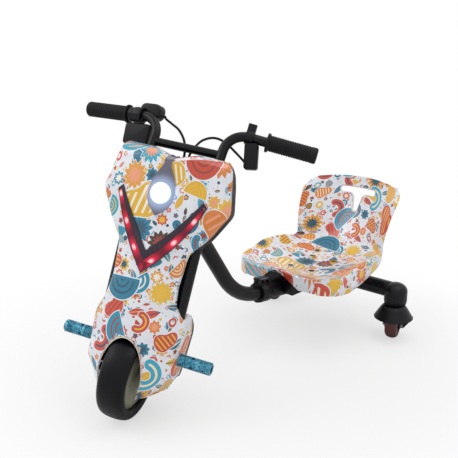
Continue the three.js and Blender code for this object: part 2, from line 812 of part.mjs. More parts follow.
/** The black back half of the wheel shroud. */
function shroudBack() {
  const slot = turnedX(frontPrism(slotOutline(rearSlotHalf, rearSlotTop), frontmost, 0), 0);
  const grid = backGrid(shroudBackTop, shroudBackBottom, shroudBackRows, shroudBackDepth);
  const front = block([-2 * shieldHalf, frontmost, 2 * shroudBottom], [2 * shieldHalf, shroudRim + gap, shieldTop]);
  return cut(sheet(grid, 0, coverWall), [front, moved(slot, 0, shroudRim + shroudBackDepth + overrun, 0)]);
}

// Front wheel

const tyreHalf = (share) => (tyreWidth / 2) * share;
const tyreRadius = (share) => tyreSeatRadius + (wheelRadius - tyreSeatRadius) * share;
const leanSine = Math.sin(steerAtRest) * Math.sin(rakeAngle);
const leanCosine = Math.sqrt(1 - leanSine ** 2);
const wheelDrops = tyreShares.map(([rise, half]) => tyreRadius(rise) * leanCosine + tyreHalf(half) * leanSine);
const axleFall = wheelSetback * Math.cos(steerAtRest) * Math.sin(rakeAngle);
const axleHeight = (Math.max(...wheelDrops) - axisHeight + axleFall) / Math.cos(rakeAngle);

function tyre() {
  const side = tyreShares.map(([rise, half]) => [tyreRadius(rise), tyreHalf(half)]);
  const profile = [...side, ...side.map(([radius, x]) => [radius, -x]).reverse(), side[0]];
  return turnedY(revolved(profile, wheelSides), Math.PI / 2);
}

function hubMotor() {
  const side = [
    [axleRadius + runningGap, motorBossWidth / 2],
    [motorBossRadius, motorBossWidth / 2],
    [motorBossRadius + coverWall, hubWidth / 2],
    [hubFaceRadius, hubWidth / 2],
    [tyreSeatRadius - gap - coverWall, hubRimWidth / 2],
    [tyreSeatRadius - gap, hubRimWidth / 2],
  ];
  const profile = [...side, ...side.map(([radius, x]) => [radius, -x]).reverse(), side[0]];
  const screws = [];
  for (let i = 0; i < coverScrew.count; i += 1) {
    const turn = (2 * Math.PI * i) / coverScrew.count;
    const reach = hubWidth / 2 + coverScrew.proud;
    const screw = rod(coverScrew.radius, -reach, reach, tinySides);
    screws.push(moved(screw, coverScrew.circle * Math.cos(turn), coverScrew.circle * Math.sin(turn), 0));
  }
  return turnedY(join([revolved(profile, wheelSides), ...screws]), Math.PI / 2);
}

const dropoutOuter = legSpacing - dropoutInset;
const dropoutInner = dropoutOuter - dropoutThickness;

function motorAxle() {
  const end = dropoutOuter + gap + axleNutThickness + gap;
  const shoulder = rodX(axleShoulderRadius, -dropoutInner + gap, dropoutInner - gap);
  const clearance = motorBossWidth / 2 + runningGap;
  const middle = rodX(axleShoulderRadius + overrun, -clearance, clearance);
  return rodX(axleRadius, -end, end).add(shoulder.subtract(middle));
}

/** A six-sided nut along X. */
function hexNut(width, from, to, bore) {
  const flats = 6;
  return rodX(width / Math.sqrt(3), from, to, flats).subtract(holeX(bore, from - overrun, to + overrun));
}

// Fork and handlebar

function fork() {
  const axleSpace = axleRadius + gap;
  const side = () => {
    const leg = moved(rod(legRadius, legBottom, legTop), legSpacing, 0, 0);
    const [front, back] = [wheelSetback - dropoutWidth / 2, wheelSetback + dropoutWidth / 2];
    const foot = block([dropoutInner, front, footBottom], [legSpacing, back, dropoutTop]);
    const plate = block([dropoutInner, front, dropoutBottom], [dropoutOuter, back, dropoutTop]);
    const boss = moved(rodX(pegBossRadius, legSpacing, pegBossReach), 0, pegSetback, pegHeight);
    const thread = moved(holeX(pegBoltRadius + gap, pegBossReach - pegBoltReach - gap, pegBossReach + overrun), 0, pegSetback, pegHeight);
    const slot = block(
      [dropoutInner - overrun, wheelSetback - axleSpace, dropoutBottom - overrun],
      [dropoutOuter + gap, wheelSetback + axleSpace, axleHeight],
    );
    const round = moved(rodX(axleSpace, dropoutInner - overrun, dropoutOuter + gap), 0, wheelSetback, axleHeight);
    return cut(join([leg, foot, plate, boss]), [thread, slot, round]);
  };
  const crown = moved(extruded(
    roundedRectangle(2 * legSpacing + legRadius, crownDepth, crownDepth / 3), 0, crownThickness,
  ), 0, 0, crownHeight);
  const tray = block([-legSpacing, -trayDepth / 2, trayHeight], [legSpacing, trayDepth / 2, trayHeight + trayThickness]);
  const steerer = rod(steererRadius, crownHeight, steererTop, roundSides);
  return join([side(), mirrored(side()), crown, tray, steerer]);
}

/** The path of the left riser and bar. */
function barPath() {
  return bentPath([
    new THREE.Vector3(legSpacing, 0, barFoot),
    new THREE.Vector3(legSpacing, barCorner.setback, cornerHeight),
    new THREE.Vector3(barEnd.reach, barEnd.setback, endHeight),
  ], [barBend]);
}

const plateBottom = barFoot + crownPlateLift;

function handlebar() {
  const side = () => {
    const foot = moved(rod(riserFootRadius, barFoot, barFoot + riserFootHeight), legSpacing, 0, 0);
    return foot.add(swept(barPath(), barRadius, barSteps).subtract(block(
      [0, -overrun, barFoot - overrun], [2 * legSpacing, overrun, barFoot],
    )));
  };
  const crossBar = moved(
    rodX(crossBarRadius, -legSpacing, legSpacing), 0, barCorner.setback * crossBarShare, barFoot + barCorner.rise * crossBarShare,
  );
  const plate = extruded(roundedRectangle(2 * legSpacing + riserFootRadius, 2 * riserFootRadius, riserFootRadius / 2), plateBottom, plateBottom + crownPlateThickness);
  const drill = hole(steererRadius + gap, plateBottom - overrun, plateBottom + overrun, roundSides);
  return join([side(), mirrored(side()), crossBar, plate]).subtract(drill);
}

function steererNut() {
  const from = plateBottom + crownPlateThickness + gap;
  const nut = hexNut(steererNutWidth, from, from + steererNutHeight, steererRadius + gap);
  return turnedY(nut, -Math.PI / 2);
}

/** Place on the left bar at a distance from the middle: X backwards, Y up, Z outwards along the bar. */
function barFrame(reach) {
  const corner = new THREE.Vector3(legSpacing, barCorner.setback, cornerHeight);
  const end = new THREE.Vector3(barEnd.reach, barEnd.setback, endHeight);
  const along = end.clone().sub(corner).normalize();
  const place = corner.clone().addScaledVector(along, (reach - corner.x) / along.x);
  const back = new THREE.Vector3().crossVectors(new THREE.Vector3(0, 0, 1), along).normalize();
  const up = new THREE.Vector3().crossVectors(along, back);
  return new THREE.Matrix4().makeBasis(back, up, along).setPosition(place);
}

/** Turns a prism so that its outline is seen from behind the bar: its X runs outwards along the bar. */
const facing = (body) => turnedY(body, -Math.PI / 2);

const gripStart = barEnd.reach - gripLength + gripEndCap;
const fromGrip = (inset) => barFrame(gripStart - inset);

function grip() {
  const bore = (barRadius + gap) / Math.cos(Math.PI / roundSides);
  const profile = [
    [bore, 0],
    [gripFlangeRadius, 0],
    [gripFlangeRadius, gripFlangeLength],
    [gripRadius, gripFlangeLength + gripBevel],
    [gripRadius, gripLength - gripBevel],
    [gripRadius - gripBevel, gripLength],
    [0, gripLength],
    [0, gripLength - gripEndCap + gripBevel],
    [bore, gripLength - gripEndCap + gripBevel],
    [bore, 0],
  ];
  return placed(revolved(profile, roundSides), barFrame(gripStart));
}

const barSpace = () => swept(barPath(), barRadius + gap, barSteps);

/** Collar on the bar with a flat body behind and above the bend; the lever's pivot ring sits outside it. */
function throttleHousing() {
  const collar = placed(rod(throttleCollar.radius, 0, throttleCollar.length, roundSides), fromGrip(throttleCollar.inset));
  const body = facing(extruded(
    roundedRectangle(throttleBody.length, throttleBody.height, throttleBody.corner),
    -throttleBody.depth / 2, throttleBody.depth / 2, gripBevel,
  ));
  const lobe = placed(moved(body, throttleBody.setback, throttleBody.rise, throttleBody.length / 2), fromGrip(throttleBody.inset));
  return mirrored(collar.add(lobe).subtract(barSpace()));
}

const leverStart = gripStart - throttleCollar.inset + throttleCollar.length + runningGap;

function thumbThrottle() {
  const ring = rod(leverPaddle.hub, 0, leverPaddle.width, roundSides);
  const arm = block([0, -leverPaddle.thickness / 2, 0], [leverPaddle.length, leverPaddle.thickness / 2, leverPaddle.width]);
  const bore = hole(barRadius + gap, -overrun, leverPaddle.width + overrun, roundSides);
  return mirrored(placed(join([ring, arm]).subtract(bore), barFrame(leverStart)));
}

const boxPlace = () => fromGrip(controlBox.inset).multiply(new THREE.Matrix4().makeTranslation(0, -controlBox.drop, 0));

function controlBoxBody() {
  const body = facing(extruded(
    roundedRectangle(controlBox.width, controlBox.height, controlBox.corner),
    -controlBox.depth / 2, controlBox.depth / 2, gripBevel,
  ));
  const drill = turnedY(hole(powerButton.radius + gap, controlBox.depth / 2 - powerButton.depth, controlBox.depth, roundSides), Math.PI / 2);
  const [y, z] = [-controlBox.height / 2, controlBox.width / 2];
  return mirrored(placed(cut(moved(body, 0, y, z), [moved(drill, 0, y, z)]), boxPlace()).subtract(barSpace()));
}

/** The round power button on the face towards the rider. */
function powerButtonBody() {
  const from = controlBox.depth / 2 - powerButton.depth + powerButton.travel + gap;
  const to = controlBox.depth / 2 + powerButton.height;
  const button = turnedY(rod(powerButton.radius, from, to, roundSides), Math.PI / 2);
  return mirrored(placed(moved(button, 0, -controlBox.height / 2, controlBox.width / 2), boxPlace()));
}

const podPlace = () => {
  const tilt = new THREE.Matrix4().makeRotationX(pod.tilt);
  return fromGrip(pod.inset - pod.width / 2).multiply(tilt);
};

/** Place of a control on the pod's face towards the rider, at a distance below the pod's top. */
const podY = (drop) => -pod.top - drop;

function switchPod() {
  const body = moved(facing(extruded(
    roundedRectangle(pod.width, pod.height, pod.corner), -pod.depth / 2, pod.depth / 2, pod.corner / 2,
  )), 0, podY(pod.height / 2), 0);
  const buttonHole = moved(turnedY(
    hole(podButton.radius + gap, pod.depth / 2 - podButton.depth, pod.depth, smallSides), Math.PI / 2,
  ), 0, podY(podButton.drop), 0);
  const [high, wide] = [podSwitch.height / 2 + gap, podSwitch.width / 2 + gap];
  const switchHole = moved(block(
    [pod.depth / 2 - podSwitch.depth, -high, -wide], [pod.depth, high, wide],
  ), 0, podY(podSwitch.drop), 0);
  const clamp = placed(hole(podClamp.radius + gap, -overrun, podClamp.width + overrun, roundSides), fromGrip(podClamp.inset));
  return placed(cut(body, [buttonHole, switchHole]), podPlace()).subtract(clamp);
}

function podClampBody() {
  const ring = rod(podClamp.radius, 0, podClamp.width, roundSides);
  const lug = block([-podClamp.depth / 2, 0, 0], [podClamp.depth / 2, podClamp.rise, podClamp.width]);
  return placed(join([ring, lug]), fromGrip(podClamp.inset)).subtract(barSpace());
}

function hornButton() {
  const from = pod.depth / 2 - podButton.depth + podButton.travel + gap;
  const button = turnedY(rod(podButton.radius, from, pod.depth / 2 + podButton.height), Math.PI / 2);
  return placed(moved(button, 0, podY(podButton.drop), 0), podPlace());
}

/** A rocker: two faces that meet at a ridge over its pivot. */
function lightSwitch() {
  const [half, high] = [podSwitch.width / 2, podSwitch.height / 2 - podSwitch.play];
  const base = pod.depth / 2 - podSwitch.depth + podSwitch.pin;
  const face = pod.depth / 2;
  const shape = new THREE.Shape();
  shape.moveTo(base, 0);
  shape.lineTo(face - podSwitch.pin, -high);
  shape.lineTo(face, -high);
  shape.lineTo(face + podSwitch.proud / 2, 0);
  shape.lineTo(face + podSwitch.proud, high);
  shape.lineTo(face - podSwitch.pin, high);
  shape.closePath();
  return placed(moved(extruded(shape, -half, half), 0, podY(podSwitch.drop), 0), podPlace());
}

// Foot pegs, built on the left side

function peg() {
  const start = pegBossReach + gap;
  const profile = [
    [pegBoltRadius + gap, start],
    [pegRadius, start],
    [pegRadius, pegEnd - pegBevel],
    [pegRadius - pegBevel, pegEnd],
    [pegBore, pegEnd],
    [pegBore, pegEnd - pegBoreDepth],
    [pegBoltRadius + gap, pegEnd - pegBoreDepth],
    [pegBoltRadius + gap, start],
  ];
  const holes = [];
  for (let i = 0; i < pegCrossHoleCount; i += 1) {
    const drill = moved(rod(pegCrossHole, pegRadius - pegCrossHoleDepth, pegRadius + overrun, tinySides), pegEnd - pegCrossHoleInset, 0, 0);
    holes.push(turnedX(drill, pegCrossHoleTurn + (2 * Math.PI * i) / pegCrossHoleCount));
  }
  return moved(cut(turnedY(revolved(profile), Math.PI / 2), holes), 0, pegSetback, pegHeight);
}

function pegBolt() {
  const seat = pegEnd - pegBoreDepth + gap;
  const shank = rodX(pegBoltRadius, pegBossReach - pegBoltReach, seat + gap);
  const head = rodX(pegBoltHeadRadius, seat, seat + pegBoltHeadHeight);
  const socket = rodX(pegBoltRadius - 1, seat + pegBoltHeadHeight / 2, seat + pegBoltHeadHeight + overrun, 6);
  return moved(join([shank, head]).subtract(socket), 0, pegSetback, pegHeight);
}

// Battery, controller and cables

const caseBox = (size, bottom) => moved(extruded(
  roundedRectangle(size.width, size.depth, size.corner), 0, size.height, size.corner / 3,
), 0, caseFront + size.depth / 2, bottom);

/** A cable along a smooth route. */
function cable(points) {
  const route = new THREE.CatmullRomCurve3(points.map((point) => new THREE.Vector3(...point)));
  return swept(route, cableRadius, cableSteps, cableSides);
}

// Front frame, in the side plane of the whole vehicle

const rake = new THREE.Matrix4().makeTranslation(0, 0, axisHeight)
  .multiply(new THREE.Matrix4().makeRotationX(-rakeAngle));

/** Height of the tail's centre line at a distance behind the steering axis. */
const tailHeight = (y) => mainTubeCorner.z - Math.tan(tailSlope) * (y - mainTubeCorner.y);

/** A frame on the tail line: origin at y, Z pointing backwards along the tube, X to the left. */
function tailFrame(y) {
  const turn = new THREE.Matrix4().makeRotationX(-Math.PI / 2 - tailSlope);
  return new THREE.Matrix4().makeTranslation(0, y, tailHeight(y)).multiply(turn);
}

function mainFrame() {
  const join0 = new THREE.Vector3(0, 0, mainTubeJoin).applyMatrix4(rake);
  const path = bentPath([
    join0,
    new THREE.Vector3(0, mainTubeCorner.y, mainTubeCorner.z),
    new THREE.Vector3(0, insertEnd, tailHeight(insertEnd)),
  ], [mainTubeBend]);
  const headTube = placed(rod(headTubeRadius, headTubeBottom, headTubeTop, roundSides), rake);
  const bore = placed(rod(headTubeBore, headTubeBottom - overrun, headTubeTop + overrun, roundSides), rake);
  return headTube.add(swept(path, mainTubeRadius, mainTubeSteps)).subtract(bore);
}

/** A bearing ring round the steerer between two heights. */
const bearing = (from, to) => rod(bearingRadius, from + gap, to - gap, roundSides)
  .subtract(hole(steererRadius + gap, from - overrun, to + overrun, roundSides));

// Rear frame

const beamHeight = tailHeight(beamY);

function rearFrame() {
  const length = (beamY - sleeveStart) / Math.cos(tailSlope);
  const insertReach = (insertEnd - sleeveStart) / Math.cos(tailSlope);
  const tube = placed(rod(sleeveRadius, 0, length, roundSides), tailFrame(sleeveStart));
  const bore = placed(hole(mainTubeRadius + sleeveClearance, -overrun, insertReach + overrun, roundSides), tailFrame(sleeveStart));
  const slit = placed(block(
    [-clampSlit / 2, -sleeveRadius - overrun, -overrun], [clampSlit / 2, 0, collarLength + sleeveRadius],
  ), tailFrame(sleeveStart));
  const beam = moved(rodX(beamRadius, -casterSpacing, casterSpacing, roundSides), 0, beamY, beamHeight);
  const profile = [
    [0, socketTop],
    ...domeShares.map(([out, rise]) => [socketRadius * out, socketTop - (socketTop - beamHeight) * (1 - rise)]),
    [socketRadius, socketBottom],
    [casterStemRadius + runningGap, socketBottom],
    [casterStemRadius + runningGap, casterStemTop + runningGap],
    [0, casterStemTop + runningGap],
  ];
  const stemSpace = hole(casterStemRadius + runningGap, socketBottom - overrun, casterStemTop + runningGap);
  const sockets = [-1, 1].map((side) => moved(revolved(profile), side * casterSpacing, beamY, 0));
  const spaces = [-1, 1].map((side) => moved(stemSpace, side * casterSpacing, beamY, 0));
  return cut(join([tube, beam, ...sockets]), [bore, slit, ...spaces]);
}

/** Split collar round the front end of the sleeve, with two bolts across its ears. */
function clampCollar() {
  const ring = rod(collarRadius, 0, collarLength, roundSides);
  const ears = block([-collarLug.width / 2, -collarLug.height, 0], [collarLug.width / 2, 0, collarLength]);
  const bore = rod(sleeveRadius + gap, -overrun, collarLength + overrun, roundSides);
  const slit = block([-clampSlit / 2, -collarLug.height - overrun, -overrun], [clampSlit / 2, 0, collarLength + overrun]);
  const holes = clampBoltShares.map((share) => moved(
    holeX(clampBolt.radius + gap, -collarLug.width, collarLug.width), 0, -clampBoltHeight, collarLength * share,
  ));
  return placed(cut(join([ring, ears]), [bore, slit, ...holes]), tailFrame(sleeveStart));
}

function clampBoltBody(share) {
  const half = collarLug.width / 2 + gap;
  const shank = rodX(clampBolt.radius, -half - clampBolt.overhang, half + clampBolt.headHeight / 2);
  const head = rodX(clampBolt.head, half, half + clampBolt.headHeight);
  const nut = rodX(clampBolt.head, -half - clampBolt.headHeight, -half, 6);
  return placed(moved(join([shank, head, nut]), 0, -clampBoltHeight, collarLength * share), tailFrame(sleeveStart));
}

/** Folded steel bracket that carries the seat on the sleeve. */
function seatBracket() {
  const outline = (inset, floor) => {
    const shape = new THREE.Shape();
    shape.moveTo(bracketFront + inset, floor);
    shape.lineTo(bracketFront + inset, bracketUpstand - inset);
    shape.lineTo(bracketSlope, bracketTop - inset);
    shape.lineTo(bracketRear - inset, bracketTop - inset);
    shape.lineTo(bracketRear - inset, floor);
    shape.closePath();
    return shape;
  };
  const across = (shape, half) => {
    const basis = new THREE.Matrix4().makeBasis(
      new THREE.Vector3(0, 1, 0), new THREE.Vector3(0, 0, 1), new THREE.Vector3(1, 0, 0),
    );
    return placed(extruded(shape, -half, half), basis);
  };
  const shell = across(outline(0, bracketBottom), bracketHalf);
  const hollow = across(outline(bracketWall, bracketBottom - overrun), bracketHalf - bracketWall);
  const ribs = bracketRibShares.map((share) => {
    const y = bracketFront + (bracketRear - bracketFront) * share;
    return block(
      [-bracketHalf + bracketWall / 2, y, bracketBottom],
      [bracketHalf - bracketWall / 2, y + bracketWall, bracketTop - bracketWall / 2],
    );
  });
  const tube = placed(rod(sleeveRadius + gap, -overrun, beamY - sleeveStart, roundSides), tailFrame(sleeveStart));
  const holes = seatBoltPlaces().map(([x, y]) => moved(hole(seatBolt.radius + gap, bracketBottom, bracketUpstand), x, y, 0));
  return cut(join([shell.subtract(hollow), ...ribs]), [tube, ...holes]);
}

/** The four seat bolts as [x, y]. */
function seatBoltPlaces() {
  const { x, front, rear, frontRise, rearRise } = seatBoss;
  return [[x, front, frontRise], [-x, front, frontRise], [x, rear, rearRise], [-x, rear, rearRise]];
}

// Seat: rows run from the front lip over the pan and up the back, columns from the right lip to the left lip.
// Shares of seatReach, seatHeight, seatHalf and seatSkirt:
// centre back, centre up, half width, rim back, rim up, lip out, lip back, lip down
const seatShares = [
  [0, 0.23, 0.675, 0.02, 0.183, 0.13, 0.28, 0.8],
  [0.035, 0.217, 0.783, 0.055, 0.187, 0.13, 0.15, 0.81],
  [0.093, 0.17, 0.928, 0.118, 0.187, 0.13, 0.06, 0.81],
  [0.168, 0.123, 0.994, 0.186, 0.196, 0.15, 0, 0.82],
  [0.256, 0.094, 1, 0.271, 0.217, 0.15, 0, 0.87],
  [0.357, 0.081, 1, 0.367, 0.264, 0.15, 0, 0.93],
  [0.482, 0.081, 0.982, 0.482, 0.272, 0.15, 0, 0.78],
  [0.608, 0.102, 0.934, 0.59, 0.264, 0.15, 0, 0.67],
  [0.721, 0.149, 0.873, 0.671, 0.247, 0.15, 0.07, 0.52],
  [0.804, 0.243, 0.843, 0.701, 0.268, 0.15, 0.15, 0.37],
  [0.854, 0.362, 0.849, 0.709, 0.37, 0.11, 0.22, 0.11],
  [0.899, 0.489, 0.88, 0.729, 0.502, 0.09, 0.2, 0.04],
  [0.935, 0.617, 0.904, 0.756, 0.634, 0.09, 0.19, 0.02],
  [0.962, 0.745, 0.928, 0.794, 0.745, 0.09, 0.17, 0],
  [0.982, 0.855, 0.934, 0.824, 0.821, 0.09, 0.15, 0],
  [0.995, 0.949, 0.892, 0.879, 0.898, 0.07, 0.15, 0.02],
  [1, 1, 0.771, 0.924, 0.957, 0.04, 0.15, 0.04],
];

/** A station of the seat as the eight lengths of the table. */
function seatRow(shares) {
  const scales = [seatReach, seatHeight, seatHalf, seatReach, seatHeight, seatSkirt, seatSkirt, seatSkirt];
  return shares.map((share, i) => share * scales[i]);
}

/** One row of the seat's upper surface. */
function seatPoints(station, rowShare) {
  const [centreBack, centreUp, half, rimBack, rimUp, out, back, down] = seatRow(station);
  const points = [];
  for (let j = 0; j <= seatColumns; j += 1) {
    const across = (2 * j) / seatColumns - 1;
    const share = Math.abs(across) ** seatDishShare;
    const trough = seatTrough * Math.sin(Math.PI * Math.abs(across)) * Math.max(0, 1 - rowShare / seatTroughShare);
    points.push(new THREE.Vector3(
      half * across,
      seatFront + centreBack + (rimBack - centreBack) * share,
      seatBase + centreUp + (rimUp - centreUp) * share - trough,
    ));
  }
  const lip = (point, side, share) => new THREE.Vector3(
    point.x + side * out * Math.sin((Math.PI / 2) * share),
    point.y + back * share,
    point.z - down * share * share,
  );
  const [right, left] = [points[0], points[points.length - 1]];
  const lips = seatLipShares.map((share) => [lip(right, -1, share), lip(left, 1, share)]);
  return [...lips.map(([a]) => a).reverse(), ...points, ...lips.map(([, b]) => b)];
}

/** The seat's upper surface, front skirt first. */
function seatGrid() {
  const rows = seatShares.map((station, i) => seatPoints(station, i / (seatShares.length - 1)));
  const crest = rows[0];
  const skirt = seatSkirtShares.map((share) => crest.map((point) => {
    const arch = seatArchShare * Math.max(0, 1 - (point.x / seatArchHalf) ** 2);
    const fall = Math.min(1, (point.z - seatBase) / (seatFrontRise));
    const foot = new THREE.Vector3(point.x, point.y + seatTuck * Math.max(0, fall), seatBase);
    return point.clone().lerp(foot, share * (1 - arch));
  }));
  const top = rows[rows.length - 1].map((point) => point.clone().add(new THREE.Vector3(0, seatLip, -seatLip / 2)));
  return [...skirt.reverse(), ...rows, top];
}

/** The hand hole in the backrest: a bar with a tapering stem below it. */
function seatHandle() {
  const { half, height, bar, stem, drop } = seatHole;
  const top = height + bar;
  const points = [
    [-half + bar, top], [-half, height], [-half + bar, height - bar],
    [-stem * 2, height - bar], [-stem / 2, height - drop],
    [stem / 2, height - drop], [stem * 2, height - bar],
    [half - bar, height - bar], [half, height], [half - bar, top],
  ];
  return moved(frontPrism(points, 0, seatReach + overrun), 0, seatFront + seatReach / 2, 0);
}

const bossFloor = seatBase + seatBossFloor;

function seatShell() {
  const bosses = seatBoltPlaces().map(([x, y, rise]) => moved(rod(seatBoss.radius, bracketTop + gap, seatBase + rise), x, y, 0));
  const holes = seatBoltPlaces().map(([x, y]) => moved(hole(seatBolt.radius + gap, bracketBottom, bossFloor + overrun), x, y, 0));
  const recesses = seatBoltPlaces().map(([x, y]) => moved(hole(seatBolt.head + gap, bossFloor, seatBase + seatHeight), x, y, 0));
  return cut(join([sheet(seatGrid(), 0, seatWall), ...bosses]), [seatHandle(), ...holes, ...recesses]);
}

function seatBoltBody([x, y]) {
  const shank = rod(seatBolt.radius, bracketTop - bracketWall - seatBolt.headHeight, bossFloor + seatBolt.headHeight / 2);
  const head = rod(seatBolt.head, bossFloor + gap, bossFloor + gap + seatBolt.headHeight);
  return moved(join([shank, head]), x, y, 0);
}

// Casters: in their own frame the stem stands on the origin and the wheel trails along Y

function casterHoodBody() {
  const { radius, top, rim, wall, shoulder } = casterHood;
  const outer = [
    [0, top], [shoulder, top],
    ...hoodShares.map(([out, fall]) => [shoulder + (radius - shoulder) * out, top - (top - rim) * fall]),
  ];
  const inner = outer.map(([r, z], i) => (i === outer.length - 1 ? [r - wall, z] : [Math.max(0, r - wall), z - wall]));
  const dome = moved(revolved([...outer, ...inner.reverse()]), 0, casterTrail, 0);
  const stem = rod(casterStemRadius, top - wall, casterStemTop);
  const cheek = (side) => {
    const [near, far] = [casterHood.cheek, casterHood.cheek + wall];
    const plate = block(
      [Math.min(side * near, side * far), casterTrail - casterHood.cheekWidth / 2, casterWheelRadius],
      [Math.max(side * near, side * far), casterTrail + casterHood.cheekWidth / 2, top - wall / 2],
    );
    const round = moved(rodX(casterHood.cheekWidth / 2, side * near, side * far, smallSides), 0, casterTrail, casterWheelRadius);
    return plate.add(round);
  };
  const bore = moved(holeX(casterAxleRadius + gap, -radius, radius), 0, casterTrail, casterWheelRadius);
  return join([dome, stem, cheek(-1), cheek(1)]).subtract(bore);
}

function casterAxle() {
  const reach = casterHood.cheek + casterHood.wall + gap;
  const shank = rodX(casterAxleRadius, -reach - gap, reach + gap);
  const heads = [-1, 1].map((side) => rodX(casterNut / 2, side * reach, side * (reach + casterNutThickness), 6));
  return moved(join([shank, ...heads]), 0, casterTrail, casterWheelRadius);
}

function casterWheel() {
  const half = casterWheelWidth / 2;
  const side = casterWheelShares.map(([out, wide]) => [casterWheelRadius * out, half * wide]);
  const bore = casterAxleRadius + runningGap;
  const profile = [[bore, half], ...side, ...side.map(([r, x]) => [r, -x]).reverse(), [bore, -half], [bore, half]];
  return turnedY(revolved(profile, casterSides), Math.PI / 2);
}

const casterBearing = (side) => moved(
  rod(casterBearingRadius, casterHood.top + gap, socketBottom - gap, roundSides)
    .subtract(hole(casterStemRadius + gap, 0, socketTop)),
  side * casterSpacing, beamY, 0,
);

// Assembly

const tricycle = new THREE.Group();
tricycle.name = "tricycle_drifter_scooter";

/** Adds a named piece to a group, with its flat facets merged. */
function piece(group, name, body, material) {
  const mesh = new THREE.Mesh(toGeometry(body.simplify(facetTolerance)), material.clone());
  mesh.name = name;
  group.add(mesh);
}

const raked = new THREE.Group();
raked.position.z = axisHeight;
raked.rotation.x = -rakeAngle;
tricycle.add(raked);
const steered = new THREE.Group();
steered.rotation.z = steerAtRest;
raked.add(steered);

piece(tricycle, "main_frame", mainFrame(), blackPaint);
piece(raked, "bearing_lower", bearing(crownHeight + crownThickness, headTubeBottom), steel);
piece(raked, "bearing_upper", bearing(headTubeTop, plateBottom), steel);

piece(tricycle, "rear_frame", rearFrame(), blackPaint);
piece(tricycle, "clamp_collar", clampCollar(), blackPaint);
piece(tricycle, "clamp_bolt_front", clampBoltBody(clampBoltShares[0]), steel);
piece(tricycle, "clamp_bolt_rear", clampBoltBody(clampBoltShares[1]), steel);
piece(tricycle, "seat_bracket", seatBracket(), blackPaint);
piece(tricycle, "seat_shell", seatShell(), printed);
seatBoltPlaces().forEach((place, i) => piece(tricycle, `seat_bolt_${i + 1}`, seatBoltBody(place), steel));

for (const [name, side] of [["left", 1], ["right", -1]]) {
  piece(tricycle, `caster_bearing_${name}`, casterBearing(side), steel);
  const caster = new THREE.Group();
  caster.position.set(side * casterSpacing, beamY, 0);
  caster.rotation.z = casterYaw;
  tricycle.add(caster);
  piece(caster, `caster_hood_${name}`, casterHoodBody(), blackPlastic);
  piece(caster, `caster_axle_${name}`, casterAxle(), steel);
  const wheel = new THREE.Group();
  wheel.position.set(0, casterTrail, casterWheelRadius);
  caster.add(wheel);
  piece(wheel, `caster_wheel_${name}`, casterWheel(), redTread);
}

piece(steered, "fork", fork(), blackPaint);
piece(steered, "handlebar", handlebar(), blackPaint);
piece(steered, "steerer_nut", steererNut(), steel);
piece(steered, "grip_left", grip(), rubber);
piece(steered, "grip_right", mirrored(grip()), rubber);
piece(steered, "throttle_housing", throttleHousing(), blackPlastic);
piece(steered, "thumb_throttle", thumbThrottle(), blackPlastic);
piece(steered, "control_box", controlBoxBody(), blackPlastic);
piece(steered, "power_button", powerButtonBody(), signalRed);
piece(steered, "switch_pod", switchPod(), blackPlastic);
piece(steered, "pod_clamp", podClampBody(), blackPlastic);
piece(steered, "horn_button", hornButton(), signalRed);
piece(steered, "light_switch", lightSwitch(), blackPlastic);
piece(steered, "front_cover", frontCover(), printed);
piece(steered, "back_cover", backCover(), blackPlastic);
piece(steered, "shroud_back", shroudBack(), blackPlastic);
piece(steered, "headlight_bezel", headlightBezel(), bezelGrey);
piece(steered, "headlight_lens", headlightLens(), lampClear);
piece(steered, "headlight_reflector", headlightReflector(), reflectorSilver);
piece(steered, "led_bezel", ledBezel(), ledDark);
piece(steered, "led_lens", ledLens(), ledRed);
piece(steered, "led_board", ledBoard(), boardGreen);
piece(steered, "battery_pack", caseBox(batterySize, batteryBottom), blackPlastic);
piece(steered, "controller", caseBox(controllerSize, controllerBottom), reflectorSilver);
piece(steered, "peg_left", peg(), blueAnodised);
piece(steered, "peg_right", mirrored(peg()), blueAnodised);
piece(steered, "peg_bolt_left", pegBolt(), steel);
piece(steered, "peg_bolt_right", mirrored(pegBolt()), steel);
piece(steered, "throttle_cable", cable(throttleRoute), rubber);
piece(steered, "switch_cable", cable(switchRoute), rubber);

const wheel = new THREE.Group();
wheel.position.set(0, wheelSetback, axleHeight);
steered.add(wheel);
piece(wheel, "front_tyre", tyre(), tyreRubber);
piece(wheel, "hub_motor", hubMotor(), hubGrey);
piece(wheel, "motor_axle", motorAxle(), steel);
const nutStart = dropoutOuter + gap;
const nut = () => hexNut(axleNutWidth, nutStart, nutStart + axleNutThickness, axleRadius + gap);
piece(wheel, "axle_nut_left", nut(), steel);
piece(wheel, "axle_nut_right", mirrored(nut()), steel);

// The origin is the middle of the foot print: everything moves so that the box round the part stands on it
tricycle.updateMatrixWorld(true);
const box = new THREE.Box3().setFromObject(tricycle, true);
const middle = box.getCenter(new THREE.Vector3());
tricycle.position.set(-middle.x, -middle.y, -box.min.z);
tricycle.updateMatrixWorld(true);

export default tricycle;
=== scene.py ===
"""Looks of a child's electric drift tricycle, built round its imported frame.

Pieces are modelled in millimetres in the place of their own sub-assembly and then set, in metres, in the frame's axes.
"""

from __future__ import annotations

import json
import logging
import math
from dataclasses import dataclass, field, replace
from enum import Enum
from typing import Callable, Iterable, Sequence

import bpy
from mathutils import Matrix, Vector

